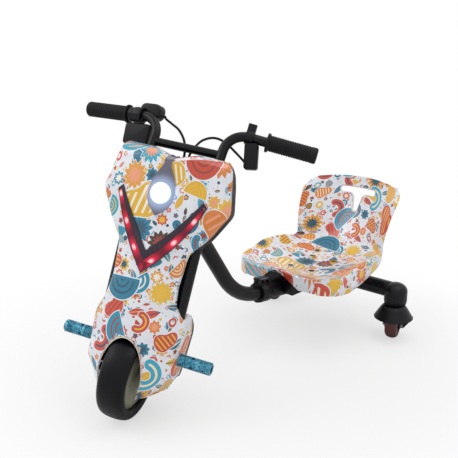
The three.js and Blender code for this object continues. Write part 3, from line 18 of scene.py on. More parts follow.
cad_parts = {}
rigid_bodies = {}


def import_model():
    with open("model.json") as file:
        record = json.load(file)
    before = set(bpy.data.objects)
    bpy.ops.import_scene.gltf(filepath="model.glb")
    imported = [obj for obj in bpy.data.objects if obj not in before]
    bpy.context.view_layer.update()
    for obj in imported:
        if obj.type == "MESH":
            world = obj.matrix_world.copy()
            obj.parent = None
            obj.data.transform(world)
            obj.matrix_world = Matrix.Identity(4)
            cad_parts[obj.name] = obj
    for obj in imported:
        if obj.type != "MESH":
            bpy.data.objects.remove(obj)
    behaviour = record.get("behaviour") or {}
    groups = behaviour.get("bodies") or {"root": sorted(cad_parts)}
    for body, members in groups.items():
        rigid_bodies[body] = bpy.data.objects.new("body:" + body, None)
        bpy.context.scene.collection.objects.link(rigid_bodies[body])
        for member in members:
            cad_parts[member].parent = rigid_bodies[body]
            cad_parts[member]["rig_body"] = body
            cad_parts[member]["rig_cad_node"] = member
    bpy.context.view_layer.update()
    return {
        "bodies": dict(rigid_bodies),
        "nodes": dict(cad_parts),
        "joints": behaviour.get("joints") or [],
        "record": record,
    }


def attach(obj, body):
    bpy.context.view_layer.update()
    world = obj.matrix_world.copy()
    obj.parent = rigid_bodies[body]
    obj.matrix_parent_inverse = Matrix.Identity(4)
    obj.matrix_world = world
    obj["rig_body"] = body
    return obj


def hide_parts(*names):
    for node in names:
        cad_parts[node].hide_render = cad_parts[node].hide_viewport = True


LOG = logging.getLogger("drift_tricycle")
MILLIMETRE = 0.001

Points = Sequence[Vector]
Profile = Sequence[tuple[float, float]]
Place = tuple[float, float, float]
Piece = bpy.types.Object
Tree = bpy.types.NodeTree
Socket = bpy.types.NodeSocket


class Body(Enum):
    """The moving bodies of the frame."""

    FRONT_FRAME = "front_frame"
    REAR_FRAME = "rear_frame"
    STEERING = "steering"
    FRONT_WHEEL = "front_wheel"
    CASTER_LEFT = "caster_left"
    CASTER_RIGHT = "caster_right"
    CASTER_WHEEL_LEFT = "caster_wheel_left"
    CASTER_WHEEL_RIGHT = "caster_wheel_right"
    THUMB_THROTTLE = "thumb_throttle"
    POWER_BUTTON = "power_button"
    HORN_BUTTON = "horn_button"
    LIGHT_SWITCH = "light_switch"


class Side(Enum):
    """The two sides of the tricycle, as the sign of X."""

    LEFT = 1
    RIGHT = -1

    @property
    def word(self) -> str:
        """The side's name in lower case."""
        return self.name.lower()

    @property
    def flip(self) -> Matrix:
        """What takes a shape of the left side to this side."""
        return Matrix.Scale(self.value, 4, (1, 0, 0))


# Materials


def linear(colour: str) -> tuple[float, float, float, float]:
    """Turns an sRGB hex colour to the linear values that sockets take.

    Args:
        colour: the colour as "#rrggbb".

    Returns:
        Red, green, blue and an alpha of one.
    """
    channels = [int(colour[i : i + 2], 16) / 255 for i in (1, 3, 5)]
    return (*[c / 12.92 if c <= 0.04045 else ((c + 0.055) / 1.055) ** 2.4 for c in channels], 1.0)


def put(tree: Tree, kind: str, *values: object, socket: int | str = 0, named: dict[str, object] | None = None,
        **settings: object) -> Socket:
    """Adds a node with its settings, values and links.

    Args:
        tree: the node tree to add to.
        kind: the node's type without its ShaderNode prefix, and after a colon its operation where it has one.
        values: what the first inputs take, in order.
        socket: which output to give back.
        named: what inputs take by name.
        settings: properties of the node.

    Returns:
        The chosen output.
    """
    kind, colon, operation = kind.partition(":")
    node = tree.nodes.new("ShaderNode" + kind)
    if colon:
        settings["operation"] = operation
    for key, value in settings.items():
        setattr(node, key, value)
    for key, value in [*enumerate(values), *(named or {}).items()]:
        if isinstance(value, Socket):
            tree.links.new(value, node.inputs[key])
        else:
            node.inputs[key].default_value = value
    return node.outputs[socket]


@dataclass(frozen=True)
class Finish:
    """A surface, as its real material and making give it.

    The grain is the size in millimetres of the bumps that the making leaves, and the relief is how high they stand.
    Colour and shade are the two tones between which the surface drifts over some centimetres.
    """

    name: str
    colour: str
    shade: str
    roughness: float
    metallic: float = 0.0
    ior: float = 1.5
    coat: float = 0.0
    grain: float = 1.2
    relief: float = 0.05
    specular: float = 0.5
    glow: str = "#000000"
    glow_strength: float = 0.0
    roughness_spread: float = 0.08
    coat_roughness: float = 0.06
    clouds_per_metre: float = 28.0

    def pattern(self, tree: Tree, cloud: Socket) -> Socket:
        """The colour of the surface, which drifts with a soft value between its two tones."""
        return put(tree, "MixRGB", cloud, linear(self.colour), linear(self.shade))

    def dress(self, tree: Tree, shader: bpy.types.Node) -> None:
        """Sets what one finish has beyond the rest."""

    def build(self) -> bpy.types.Material:
        """Makes the material.

        Returns:
            The material, under the finish's name.
        """
        material = bpy.data.materials.new(self.name)
        material.use_nodes = True
        tree = material.node_tree
        shader = tree.nodes["Principled BSDF"]
        place = put(tree, "TexCoord", socket="Object")
        cloud = put(tree, "TexNoise", place, named={"Scale": self.clouds_per_metre, "Detail": 3.0})
        fine = put(tree, "TexNoise", place, named={"Scale": 1 / (self.grain * MILLIMETRE), "Detail": 4.0})
        spread = (self.roughness - self.roughness_spread, self.roughness + self.roughness_spread)
        linked = {
            "Base Color": self.pattern(tree, put(tree, "MapRange", cloud, 0.38, 0.62, 0.0, 1.0)),
            "Roughness": put(tree, "MapRange", fine, 0.3, 0.7, *spread),
            "Normal": put(tree, "Bump", named={"Height": fine, "Distance": self.relief * MILLIMETRE, "Strength": 1.0}),
        }
        for key, value in linked.items():
            tree.links.new(value, shader.inputs[key])
        even = {
            "Metallic": self.metallic, "IOR": self.ior, "Specular IOR Level": self.specular, "Coat Weight": self.coat,
            "Coat Roughness": self.coat_roughness, "Emission Color": linear(self.glow),
            "Emission Strength": self.glow_strength,
        }
        for key, value in even.items():
            shader.inputs[key].default_value = value
        self.dress(tree, shader)
        return material


@dataclass(frozen=True)
class PaintedLampGlow(Finish):
    """A surface at the headlight with the lamp's glow painted on as emission, brightest at the lamp's middle and fading
    outwards.

    The painted glow has the finish's glow colour up to the first distance of its reach, in metres, and fades to the
    outer colour at the second. On the lens it is the lamp's own light; on the cover and its bezel it is a painted halo
    of the lamp.
    """

    centre: Place = (0.0, 0.0, 0.0)
    reach: tuple[float, float] = (0.02, 0.046)
    outer: str = "#000000"

    def dress(self, tree: Tree, shader: bpy.types.Node) -> None:
        """Adds the lamp's glow, painted on as emission round the lamp's middle.

        Args:
            tree: the material's nodes.
            shader: the surface shader.
        """
        place = put(tree, "TexCoord", socket="Object")
        away = put(tree, "VectorMath:DISTANCE", place, self.centre, socket="Value")
        far = put(tree, "MapRange", away, *self.reach, 0.0, 1.0, interpolation_type="SMOOTHSTEP")
        light = put(tree, "MixRGB", far, linear(self.glow), linear(self.outer))
        tree.links.new(light, shader.inputs["Emission Color"])


@dataclass(frozen=True)
class LitStrip(Finish):
    """A clear dark red strip with diodes behind it, which show as bright spots.

    The attribute "strip_place" gives the distance along the arm from a diode and across from the strip's middle, in
    millimetres. Halo and core are the distances between which the light round a diode and its hot spot fade.
    """

    pitch: float = 60.0
    narrowing: float = 0.62
    halo: tuple[float, float] = (3.0, 17.0)
    core: tuple[float, float] = (1.0, 6.0)
    hot: str = "#ffd9de"

    def dress(self, tree: Tree, shader: bpy.types.Node) -> None:
        """Lights the strip round each diode.

        Args:
            tree: the material's nodes.
            shader: the surface shader.
        """
        place = put(tree, "Attribute", attribute_name="strip_place", attribute_type="GEOMETRY", socket="Vector")
        parts = put(tree, "SeparateXYZ", place).node.outputs
        along = put(tree, "Math:PINGPONG", parts[0], self.pitch / 2)
        flat = put(tree, "CombineXYZ", put(tree, "Math:MULTIPLY", along, self.narrowing), parts[1], 0.0)
        away = put(tree, "VectorMath:LENGTH", flat, socket="Value")
        light = linear(self.shade)
        for reach, colour in ((self.halo, self.glow), (self.core, self.hot)):
            near = put(tree, "MapRange", away, *reach, 1.0, 0.0, interpolation_type="SMOOTHSTEP")
            light = put(tree, "MixRGB", near, light, linear(colour))
        tree.links.new(light, shader.inputs["Emission Color"])


@dataclass(frozen=True)
class GlintSpeckledMetal(Finish):
    """Knurled and dyed metal, with the glints of its knurl painted into its colour as fine bright and dark specks."""

    glint_speck: float = 4.5

    def pattern(self, tree: Tree, cloud: Socket) -> Socket:
        """The colour, with the knurl's glints painted in: it changes sharply from point to point between a bright and a
        dark tone.

        Args:
            tree: the material's nodes.
            cloud: a soft value, which this finish doesn't need.

        Returns:
            The colour.
        """
        place = put(tree, "TexCoord", socket="Object")
        # painted glints: bright and dark specks that stand for the knurl's points catching the light
        painted_glints = put(tree, "TexNoise", place, named={"Scale": 1 / (self.glint_speck * MILLIMETRE), "Detail": 2.0})
        share = put(tree, "MapRange", painted_glints, 0.42, 0.6, 0.0, 1.0)
        return put(tree, "MixRGB", share, linear(self.shade), linear(self.colour))


class Motif(Enum):
    """The plain motifs of the print, each named as the method that draws it."""

    DOT = "dot"
    STAR = "star"
    MOON = "moon"
    LEAF = "leaf"
    DROP = "drop"
    RING = "ring"
    PEBBLE = "pebble"
    ARCH = "arch"
    FAN = "fan"


@dataclass(frozen=True)
class Scatter:
    """One layer of the print, in millimetres and degrees.

    Each motif has its size, and the two random values between which a cell holds it.
    """

    pitch: float
    turn: float
    jitter: float
    halo: float
    motifs: tuple[tuple[Motif, float, float, float], ...]


@dataclass(frozen=True)
class Cell:
    """A motif's own turned coordinates in millimetres, and the random numbers of its place."""

    x: Socket
    y: Socket
    beside: Socket
    radius: Socket
    angle: Socket
    tone: Socket
    choice: Socket
    lining: Socket


@dataclass(frozen=True)
class PrintedFilm(PaintedLampGlow):
    """White shell plastic under a printed film of pebbles, suns, arches, fans, leaves, drops, rings and dots, with a
    halo of the headlight painted on round the lamp.

    Sizes are in millimetres on the surface, which the pieces give as the attribute "print_place"; its Z is nought
    where the surface is printed and one where it is plain. A motif's method says how far inside it a point of its cell
    is, in millimetres and negative outside, at the motif's radius or half length.
    """

    palette: tuple[str, ...] = (
        "#d84c34", "#e6b42a", "#1190b0", "#e18232", "#cd4831", "#2fa8c5", "#e9bc33", "#0c7b9a", "#43281f", "#e4a136",
    )
    inks: tuple[str, ...] = ("#25466a", "#d84c34", "#e6b42a", "#1190b0", "#5a3527", "#e18232", "#cd4831")
    linings: tuple[str, ...] = ("#fbe8c6", "#f1bf3a", "#a33a2c", "#f4a27c", "#fdf3e2", "#1f5068")
    layers: tuple[Scatter, ...] = (
        Scatter(10.5, 12, 0.9, 0.0, ((Motif.DOT, 1.2, 0.3, 0.58),)),
        Scatter(19, 40, 0.75, 0.8, (
            (Motif.STAR, 6.6, 0.02, 0.34), (Motif.MOON, 5.8, 0.34, 0.5), (Motif.DOT, 3, 0.5, 0.7),
            (Motif.LEAF, 8.6, 0.7, 0.92),
        )),
        Scatter(36, 73, 0.6, 1.3, (
            (Motif.LEAF, 20, 0.02, 0.28), (Motif.RING, 10.5, 0.28, 0.44), (Motif.DROP, 16, 0.44, 0.7),
            (Motif.STAR, 15, 0.7, 0.96),
        )),
        Scatter(72, 24, 0.42, 1.8, (
            (Motif.PEBBLE, 33, 0.0, 0.34), (Motif.STAR, 30, 0.34, 0.62), (Motif.ARCH, 28, 0.62, 0.78),
            (Motif.FAN, 28, 0.78, 0.98),
        )),
        Scatter(132, 57, 0.5, 2.2, (
            (Motif.PEBBLE, 54, 0.1, 0.5), (Motif.ARCH, 46, 0.5, 0.68), (Motif.FAN, 42, 0.68, 0.84),
        )),
    )
    small_pitch: float = 30.0
    printed_edge: float = 0.1
    size_range: tuple[float, float] = (1.25, 0.9)
    turn_spread: float = 37.7
    out_of_sight: float = 1000.0

    def ramp(self, tree: Tree, value: Socket, colours: Sequence[str]) -> Socket:
        """Picks one of some colours by a value from zero to one.

        Args:
            tree: the material's nodes.
            value: the value.
            colours: the colours as hex words.

        Returns:
            The picked colour.
        """
        colour = put(tree, "ValToRGB", value)
        stops = colour.node.color_ramp
        stops.interpolation = "CONSTANT"
        while len(stops.elements) < len(colours):
            stops.elements.new(1.0)
        for i, word in enumerate(colours):
            stops.elements[i].position = i / len(colours)
            stops.elements[i].color = linear(word)
        return colour

    def cells(self, tree: Tree, place: Socket, layer: Scatter) -> Cell:
        """Scatters places for the motifs of a layer, each turned and scaled in its own way.

        Args:
            tree: the material's nodes.
            place: the point on the surface, in millimetres.
            layer: the layer.

        Returns:
            The coordinates and random numbers of the cell that the point is in.
        """
        laid = put(tree, "Mapping", place, named={
            "Location": (3.7 * layer.pitch, 1.9 * layer.pitch, 0.0), "Rotation": (0.0, 0.0, math.radians(layer.turn)),
        })
        scatter = put(tree, "TexVoronoi", laid, voronoi_dimensions="2D",
                      named={"Scale": 1 / layer.pitch, "Randomness": layer.jitter}).node.outputs
        chance = put(tree, "SeparateColor", scatter["Color"]).node.outputs
        local = put(tree, "VectorMath:SUBTRACT", laid, scatter["Position"])
        size = put(tree, "MapRange", chance[0], 0.0, 1.0, *self.size_range)
        sized = put(tree, "VectorMath:SCALE", local, named={"Scale": size})
        turn = put(tree, "Math:MULTIPLY", chance[0], self.turn_spread)
        turned = put(tree, "VectorRotate", sized, named={"Angle": turn}, rotation_type="Z_AXIS")
        x, y, _ = put(tree, "SeparateXYZ", turned).node.outputs
        return Cell(
            x, y, put(tree, "Math:ABSOLUTE", x), put(tree, "VectorMath:LENGTH", sized, socket="Value"),
            put(tree, "Math:ARCTAN2", y, x), tone=chance[1], choice=chance[2], lining=chance[0],
        )

    def dot(self, tree: Tree, cell: Cell, size: float) -> Socket:
        """Within a disc."""
        return put(tree, "Math:SUBTRACT", size, cell.radius)

    def ring(self, tree: Tree, cell: Cell, size: float) -> Socket:
        """Within a ring."""
        off = put(tree, "Math:ABSOLUTE", put(tree, "Math:SUBTRACT", cell.radius, 0.75 * size))
        return put(tree, "Math:SUBTRACT", 0.25 * size, off)

    def star(self, tree: Tree, cell: Cell, size: float) -> Socket:
        """Within a star with sharp points, of which a larger star has more.

        Args:
            tree: the finish's nodes.
            cell: the cell that it lies in.
            size: its size.

        Returns:
            How far inside its edge a place lies.
        """
        points = 12.0 if size > 20 else 8.0 if size > 10 else 5.0
        wave = put(tree, "Math:PINGPONG", put(tree, "Math:MULTIPLY", cell.angle, points / math.tau), 0.5)
        edge = put(tree, "Math:MULTIPLY_ADD", wave, 0.62 * size, 0.69 * size)
        return put(tree, "Math:SUBTRACT", edge, cell.radius)

    def drop(self, tree: Tree, cell: Cell, size: float) -> Socket:
        """Within a drop, round at one end and pointed at the other.

        Args:
            tree: the finish's nodes.
            cell: the cell that it lies in.
            size: its size.

        Returns:
            How far inside its edge a place lies.
        """
        share = put(tree, "Math:MAXIMUM", put(tree, "Math:MULTIPLY_ADD", cell.y, 1 / size, 1.0), 0.0)
        left = put(tree, "Math:MAXIMUM", put(tree, "Math:SUBTRACT", 2.0, share), 0.0)
        bulge = put(tree, "Math:MULTIPLY", put(tree, "Math:POWER", share, 1.5), put(tree, "Math:POWER", left, 0.5))
        return put(tree, "Math:SUBTRACT", put(tree, "Math:MULTIPLY", bulge, 0.56 * size), cell.beside)

    def leaf(self, tree: Tree, cell: Cell, size: float) -> Socket:
        """Within a leaf, pointed at both ends.

        Args:
            tree: the finish's nodes.
            cell: the cell that it lies in.
            size: its size.

        Returns:
            How far inside its edge a place lies.
        """
        share = put(tree, "Math:POWER", put(tree, "Math:MULTIPLY", cell.y, 1 / size), 2.0)
        half = put(tree, "Math:MULTIPLY", put(tree, "Math:SUBTRACT", 1.0, share), 0.38 * size)
        return put(tree, "Math:SUBTRACT", half, cell.beside)

    def moon(self, tree: Tree, cell: Cell, size: float) -> Socket:
        """Within a crescent: a disc less a shifted disc.

        Args:
            tree: the finish's nodes.
            cell: the cell that it lies in.
            size: its size.

        Returns:
            How far inside its edge a place lies.
        """
        shifted = put(tree, "CombineXYZ", put(tree, "Math:SUBTRACT", cell.x, 0.45 * size), cell.y, 0.0)
        away = put(tree, "VectorMath:LENGTH", shifted, socket="Value")
        return put(tree, "Math:MINIMUM", self.dot(tree, cell, size), put(tree, "Math:SUBTRACT", away, 0.8 * size))

    def pebble(self, tree: Tree, cell: Cell, size: float) -> Socket:
        """Within an uneven pebble; each pebble has its own outline.

        Args:
            tree: the finish's nodes.
            cell: the cell that it lies in.
            size: its size.

        Returns:
            How far inside its edge a place lies.
        """
        shift = put(tree, "Math:MULTIPLY", cell.tone, 9.0)
        oval = put(tree, "Math:COSINE", put(tree, "Math:MULTIPLY_ADD", cell.angle, 2.0, shift))
        lobe = put(tree, "Math:SINE", put(tree, "Math:MULTIPLY_ADD", cell.angle, 3.0, shift))
        uneven = put(tree, "Math:MULTIPLY_ADD", lobe, 0.09 * size, 0.76 * size)
        return put(tree, "Math:SUBTRACT", put(tree, "Math:MULTIPLY_ADD", oval, 0.17 * size, uneven), cell.radius)

    def arch(self, tree: Tree, cell: Cell, size: float) -> Socket:
        """Within a fat arch with round ends.

        Args:
            tree: the finish's nodes.
            cell: the cell that it lies in.
            size: its size.

        Returns:
            How far inside its edge a place lies.
        """
        bow = put(tree, "Math:ABSOLUTE", put(tree, "Math:SUBTRACT", cell.radius, 0.66 * size))
        foot = put(tree, "CombineXYZ", put(tree, "Math:SUBTRACT", cell.beside, 0.66 * size), cell.y, 0.0)
        end = put(tree, "VectorMath:LENGTH", foot, socket="Value")
        upper = put(tree, "Math:GREATER_THAN", cell.y, 0.0)
        return put(tree, "Math:SUBTRACT", 0.31 * size, put(tree, "MapRange", upper, 0.0, 1.0, end, bow))

    def fan(self, tree: Tree, cell: Cell, size: float) -> Socket:
        """Within a half disc."""
        return put(tree, "Math:MINIMUM", self.dot(tree, cell, size), put(tree, "Math:ADD", cell.y, 0.12 * size))

    def inner(self, tree: Tree, cell: Cell, motif: Motif, size: float, depth: Socket) -> Socket | None:
        """The second colour inside a motif: a vein, an inner shape or stripes.

        Args:
            tree: the material's nodes.
            cell: the motif's coordinates.
            motif: the motif.
            size: its radius or half its length.
            depth: how far inside the motif a point is.

        Returns:
            How far inside that colour a point is, or nothing where the motif is plain.
        """
        if motif in (Motif.DOT, Motif.MOON, Motif.RING):
            return None
        if motif is Motif.LEAF:
            return put(tree, "Math:MINIMUM", depth, put(tree, "Math:SUBTRACT", 0.05 * size, cell.beside))
        if motif in (Motif.STAR, Motif.ARCH):
            return put(tree, "Math:SUBTRACT", depth, (0.36 if motif is Motif.STAR else 0.24) * size)
        across = cell.radius if motif is Motif.FAN else cell.y
        wave = put(tree, "Math:SINE", put(tree, "Math:MULTIPLY", across, math.tau / (0.3 * size)))
        stripe = put(tree, "Math:MULTIPLY", put(tree, "Math:SUBTRACT", wave, 0.45), 0.05 * size)
        return put(tree, "Math:MINIMUM", stripe, put(tree, "Math:SUBTRACT", depth, 0.14 * size))

    def covers(self, tree: Tree, depth: Socket, margin: float = 0.0) -> Socket:
        """One where a depth is above a margin and zero where it is below, with a fine printed edge between."""
        return put(tree, "MapRange", depth, margin - self.printed_edge, margin + self.printed_edge, 0.0, 1.0)

    def pattern(self, tree: Tree, cloud: Socket) -> Socket:
        """The print, from the smallest motifs up to the largest, on its white ground.

        Args:
            tree: the material's nodes.
            cloud: a soft value that drifts over some centimetres.

        Returns:
            The colour.
        """
        place = put(tree, "Attribute", attribute_name="print_place", attribute_type="GEOMETRY", socket="Vector")
        shown = super().pattern(tree, cloud)
        for layer in self.layers:
            cell = self.cells(tree, place, layer)
            colours = self.inks if layer.pitch < self.small_pitch else self.palette
            for motif, size, low, high in layer.motifs:
                there = put(tree, "Math:MULTIPLY", put(tree, "Math:GREATER_THAN", cell.choice, low),
                            put(tree, "Math:LESS_THAN", cell.choice, high))
                away = put(tree, "MapRange", there, 0.0, 1.0, self.out_of_sight, 0.0)
                outline = getattr(self, motif.value)(tree, cell, size)
                depth = put(tree, "Math:SUBTRACT", outline, away)
                if layer.halo:
                    ground = self.covers(tree, depth, -layer.halo)
                    shown = put(tree, "MixRGB", ground, shown, linear(self.colour))
                shown = put(tree, "MixRGB", self.covers(tree, depth), shown, self.ramp(tree, cell.tone, colours))
                inner = self.inner(tree, cell, motif, size, depth)
                if inner is not None:
                    lining = self.ramp(tree, cell.lining, self.linings)
                    shown = put(tree, "MixRGB", self.covers(tree, inner), shown, lining)
        plain = put(tree, "Math:GREATER_THAN", put(tree, "SeparateXYZ", place, socket=2), 0.5)
        return put(tree, "MixRGB", plain, shown, linear(self.shade))


class Paints:
    """All the finishes of the tricycle, made once and looked up by the record's slot."""

    def __init__(self, lamp: Vector) -> None:
        """Makes the finishes.

        Args:
            lamp: the middle of the headlight, in metres.
        """
        centre = tuple(lamp)
        finishes = {
            # ABS moulding under a glossy printed film: bright motifs, a clear soft highlight, and a pale blue halo of
            # the headlight painted on as emission round the lamp
            "shell": PrintedFilm("printed_abs_film", "#eef1f7", "#e6e9f1", 0.26, ior=1.54, coat=0.35, grain=2.2,
                                 relief=0.012, glow="#93a8cc", glow_strength=1.0, centre=centre),
            # Spark-eroded ABS: matt black with a fine even grain
            "black_plastic": Finish("moulded_black_abs", "#05060b", "#0a0b11", 0.42, ior=1.54, specular=0.22,
                                    grain=0.9, relief=0.04),
            # Powder coat on welded steel: satin black, faint orange peel
            "black_paint": Finish("powder_coated_steel", "#05060a", "#0a0b10", 0.32, specular=0.25, grain=1.6,
                                  relief=0.03),
            # Soft moulded rubber: dull black
            "grip_rubber": Finish("moulded_grip_rubber", "#0e0e11", "#151519", 0.66, ior=1.52, specular=0.25,
                                  grain=0.8, relief=0.06),
            # Tyre rubber: dark, slightly blue, with a dull sheen
            "tyre": Finish("tyre_rubber", "#020307", "#07080d", 0.38, ior=1.52, specular=0.18, grain=1.4),
            # Zinc-plated steel: pale grey, softly shiny
            "steel": Finish("zinc_plated_steel", "#a9aaa8", "#8f908e", 0.32, metallic=1.0, grain=0.7, relief=0.02),
            # Cast and painted motor case: dull olive grey
            "hub": Finish("cast_motor_case", "#8e8e79", "#7d7d69", 0.5, metallic=0.1, grain=1.1),
            # Knurled and anodised aluminium: blue, metal sheen, and painted glints as bright points drawn coarse enough
            # to show
            "peg": GlintSpeckledMetal("blue_anodised_aluminium", "#67acc4", "#246f8c", 0.24, metallic=0.6, grain=1.0,
                                 relief=0.04),
            # Moulded hard polyurethane: dark red, satin
            "caster_tread": Finish("red_polyurethane", "#57181b", "#471316", 0.42, relief=0.04),
            # Gloss-painted ABS: purple grey, with a pale blue halo of the headlight painted on as emission round the
            # lamp
            "bezel": PaintedLampGlow("gloss_painted_bezel", "#5f5f74", "#55556a", 0.22, ior=1.54, coat=0.5, grain=3.0,
                               relief=0.01, glow="#8fa3c4", glow_strength=1.0, centre=centre),
            # Clear polycarbonate lit from behind: white in the middle, cooler towards its rim
            "lamp": PaintedLampGlow("lit_polycarbonate_lens", "#f4f9ff", "#e9f2fb", 0.08, ior=1.58, relief=0.0,
                              glow="#ffffff", glow_strength=1.1, centre=centre, reach=(0.01364, 0.02244),
                              outer="#a9c4de"),
            # Red acrylic strip lit by diodes
            "led_red": LitStrip("lit_red_acrylic", "#3c0a16", "#5a0c20", 0.18, ior=1.49, specular=0.3, relief=0.0,
                                glow="#d8183a", glow_strength=1.0),
            # Gloss dark moulding round the strip
            "led_dark": Finish("gloss_dark_band", "#2c1a2e", "#241527", 0.22, ior=1.54, specular=0.4, grain=3.0,
                               relief=0.01),
            # Glass-fibre circuit board: green, even
            "board": Finish("circuit_board", "#1f4d33", "#1a432c", 0.5, grain=1.0),
            # Metallised cup: a mirror
            "reflector": Finish("metallised_cup", "#dfe1e4", "#d0d2d6", 0.1, metallic=1.0, relief=0.0),
            # Plain aluminium case: mid grey, soft metal sheen
            "case_metal": Finish("plain_aluminium", "#9c9ca0", "#8d8d92", 0.4, metallic=1.0, grain=0.8, relief=0.03),
            # Moulded red nylon: satin
            "red_button": Finish("moulded_red_nylon", "#b3252b", "#a02026", 0.45, grain=0.8, relief=0.03),
        }
        self.materials = {slot: finish.build() for slot, finish in finishes.items()}

        # Blackened steel: dark, with a dull metal sheen
        self.blackened = Finish("blackened_steel", "#1c1c20", "#141418", 0.4, metallic=0.8, grain=0.8,
                                relief=0.02).build()

    def of(self, slot: str, blackened: bool = False) -> bpy.types.Material:
        """The material of a slot, or the blackened kind of its steel."""
        return self.blackened if blackened else self.materials[slot]


# Workshop: modelling in millimetres about the origin of a sub-assembly


ALONG_X = Matrix.Rotation(math.pi / 2, 4, "Y")
FORWARDS = Matrix.Rotation(math.pi / 2, 4, "X")


def at(x: float = 0.0, y: float = 0.0, z: float = 0.0) -> Matrix:
    """A move by three lengths."""
    return Matrix.Translation((x, y, z))


def deselect() -> None:
    """Deselects everything."""
    if bpy.context.object and bpy.context.object.mode != "OBJECT":
        bpy.ops.object.mode_set(mode="OBJECT")
    bpy.ops.object.select_all(action="DESELECT")


def pick(piece: Piece) -> None:
    """Selects one piece alone and makes it active.

    Args:
        piece: the piece.
    """
    deselect()
    piece.select_set(True)
    bpy.context.view_layer.objects.active = piece


def edit(piece: Piece, steps: Callable[[], object]) -> None:
    """Runs edit-mode steps on a whole piece.

    Args:
        piece: the piece.
        steps: what to do while it is in edit mode with all selected.
    """
    pick(piece)
    bpy.ops.object.mode_set(mode="EDIT")
    bpy.ops.mesh.select_all(action="SELECT")
    steps()
    bpy.ops.object.mode_set(mode="OBJECT")


def face_outwards() -> None:
    """Turns all faces of the mesh in edit mode outwards."""
    bpy.ops.mesh.select_all(action="SELECT")
    bpy.ops.mesh.normals_make_consistent(inside=False)


def bake_place(name: str) -> Piece:
    """Names the primitive just added and puts its place into its mesh.

    Args:
        name: the piece's name.

    Returns:
        The piece.
    """
    piece = bpy.context.object
    piece.name = name
    pick(piece)
    bpy.ops.object.transform_apply(location=True, rotation=True, scale=True)
    return piece


def modify(piece: Piece, kind: str, **settings: object) -> Piece:
    """Adds a modifier and applies it.

    Args:
        piece: the piece.
        kind: the modifier's type.
        settings: its properties.

    Returns:
        The piece.
    """
    pick(piece)
    modifier = piece.modifiers.new(kind.title(), kind)
    for key, value in settings.items():
        setattr(modifier, key, value)
    bpy.ops.object.modifier_apply(modifier=modifier.name)
    return piece


def soften(piece: Piece, width: float, segments: int = 2, angle: float = 35) -> Piece:
    """Rounds the edges that are sharper than an angle, unless the width is nought.

    Args:
        piece: the piece.
        width: the width of the rounding.
        segments: how many steps it has.
        angle: the angle in degrees.

    Returns:
        The piece.
    """
    if not width:
        return piece
    return modify(piece, "BEVEL", width=width, segments=segments, limit_method="ANGLE",
                  angle_limit=math.radians(angle), use_clamp_overlap=True)


def put_in_scene(name: str, data: bpy.types.ID) -> Piece:
    """A new object in the scene that holds a mesh, a curve, a lamp or a camera.

    Args:
        name: the object's name.
        data: what it holds.

    Returns:
        The object.
    """
    piece = bpy.data.objects.new(name, data)
    bpy.context.scene.collection.objects.link(piece)
    return piece


def rod(name: str, radius: float, start: float, end: float, sides: int = 40, bevel: float = 0.0) -> Piece:
    """A round bar along Z.

    Args:
        name: the piece's name.
        radius: its radius.
        start: its lower end.
        end: its upper end.
        sides: how many sides its round has.
        bevel: the rounding of its ends.

    Returns:
        The piece.
    """
    bpy.ops.mesh.primitive_cylinder_add(
        vertices=sides, radius=radius, depth=end - start, location=(0, 0, (start + end) / 2))
    return soften(bake_place(name), bevel, 2, 60)


def block(name: str, low: Sequence[float], high: Sequence[float], bevel: float = 0.0, segments: int = 2) -> Piece:
    """A box between two corners, with rounded edges.

    Args:
        name: the piece's name.
        low: the lower corner.
        high: the upper corner.
        bevel: the rounding of its edges.
        segments: how many steps the rounding has.

    Returns:
        The piece.
    """
    bpy.ops.mesh.primitive_cube_add(size=1, location=[(a + b) / 2 for a, b in zip(low, high)])
    bpy.context.object.scale = [b - a for a, b in zip(low, high)]
    return soften(bake_place(name), bevel, segments)


def spun(name: str, profile: Profile, sides: int = 64) -> Piece:
    """A turned body about Z.

    Args:
        name: the piece's name.
        profile: the closed outline as radius and height.
        sides: how many steps it has round the axis.

    Returns:
        The piece.
    """
    mesh = bpy.data.meshes.new(name)
    count = len(profile)
    mesh.from_pydata([(r, 0, z) for r, z in profile], [(i, (i + 1) % count) for i in range(count)], [])
    piece = put_in_scene(name, mesh)

    def spin() -> None:
        """Spins the outline and closes it."""
        bpy.ops.mesh.spin(steps=sides, angle=2 * math.pi, center=(0, 0, 0), axis=(0, 0, 1))
        bpy.ops.mesh.select_all(action="SELECT")
        bpy.ops.mesh.remove_doubles(threshold=1e-4)
        bpy.ops.mesh.dissolve_degenerate(threshold=1e-4)
        face_outwards()

    edit(piece, spin)
    return piece


def tube(name: str, points: Points, radius: float, sides: int = 28) -> Piece:
    """A round bar along a line of points, with flat ends.

    Args:
        name: the piece's name.
        points: the line.
        radius: its radius.
        sides: how many sides its round has.

    Returns:
        The piece.
    """
    curve = bpy.data.curves.new(name, "CURVE")
    curve.dimensions = "3D"
    curve.bevel_depth = radius
    curve.bevel_resolution = sides // 4 - 1
    curve.use_fill_caps = True
    line = curve.splines.new("POLY")
    line.points.add(len(points) - 1)
    for knot, point in zip(line.points, points):
        knot.co = (*point, 1)
    pick(put_in_scene(name, curve))
    bpy.ops.object.convert(target="MESH")
    piece = bpy.context.object
    edit(piece, lambda: (bpy.ops.mesh.remove_doubles(threshold=1e-3), face_outwards()))
    return piece


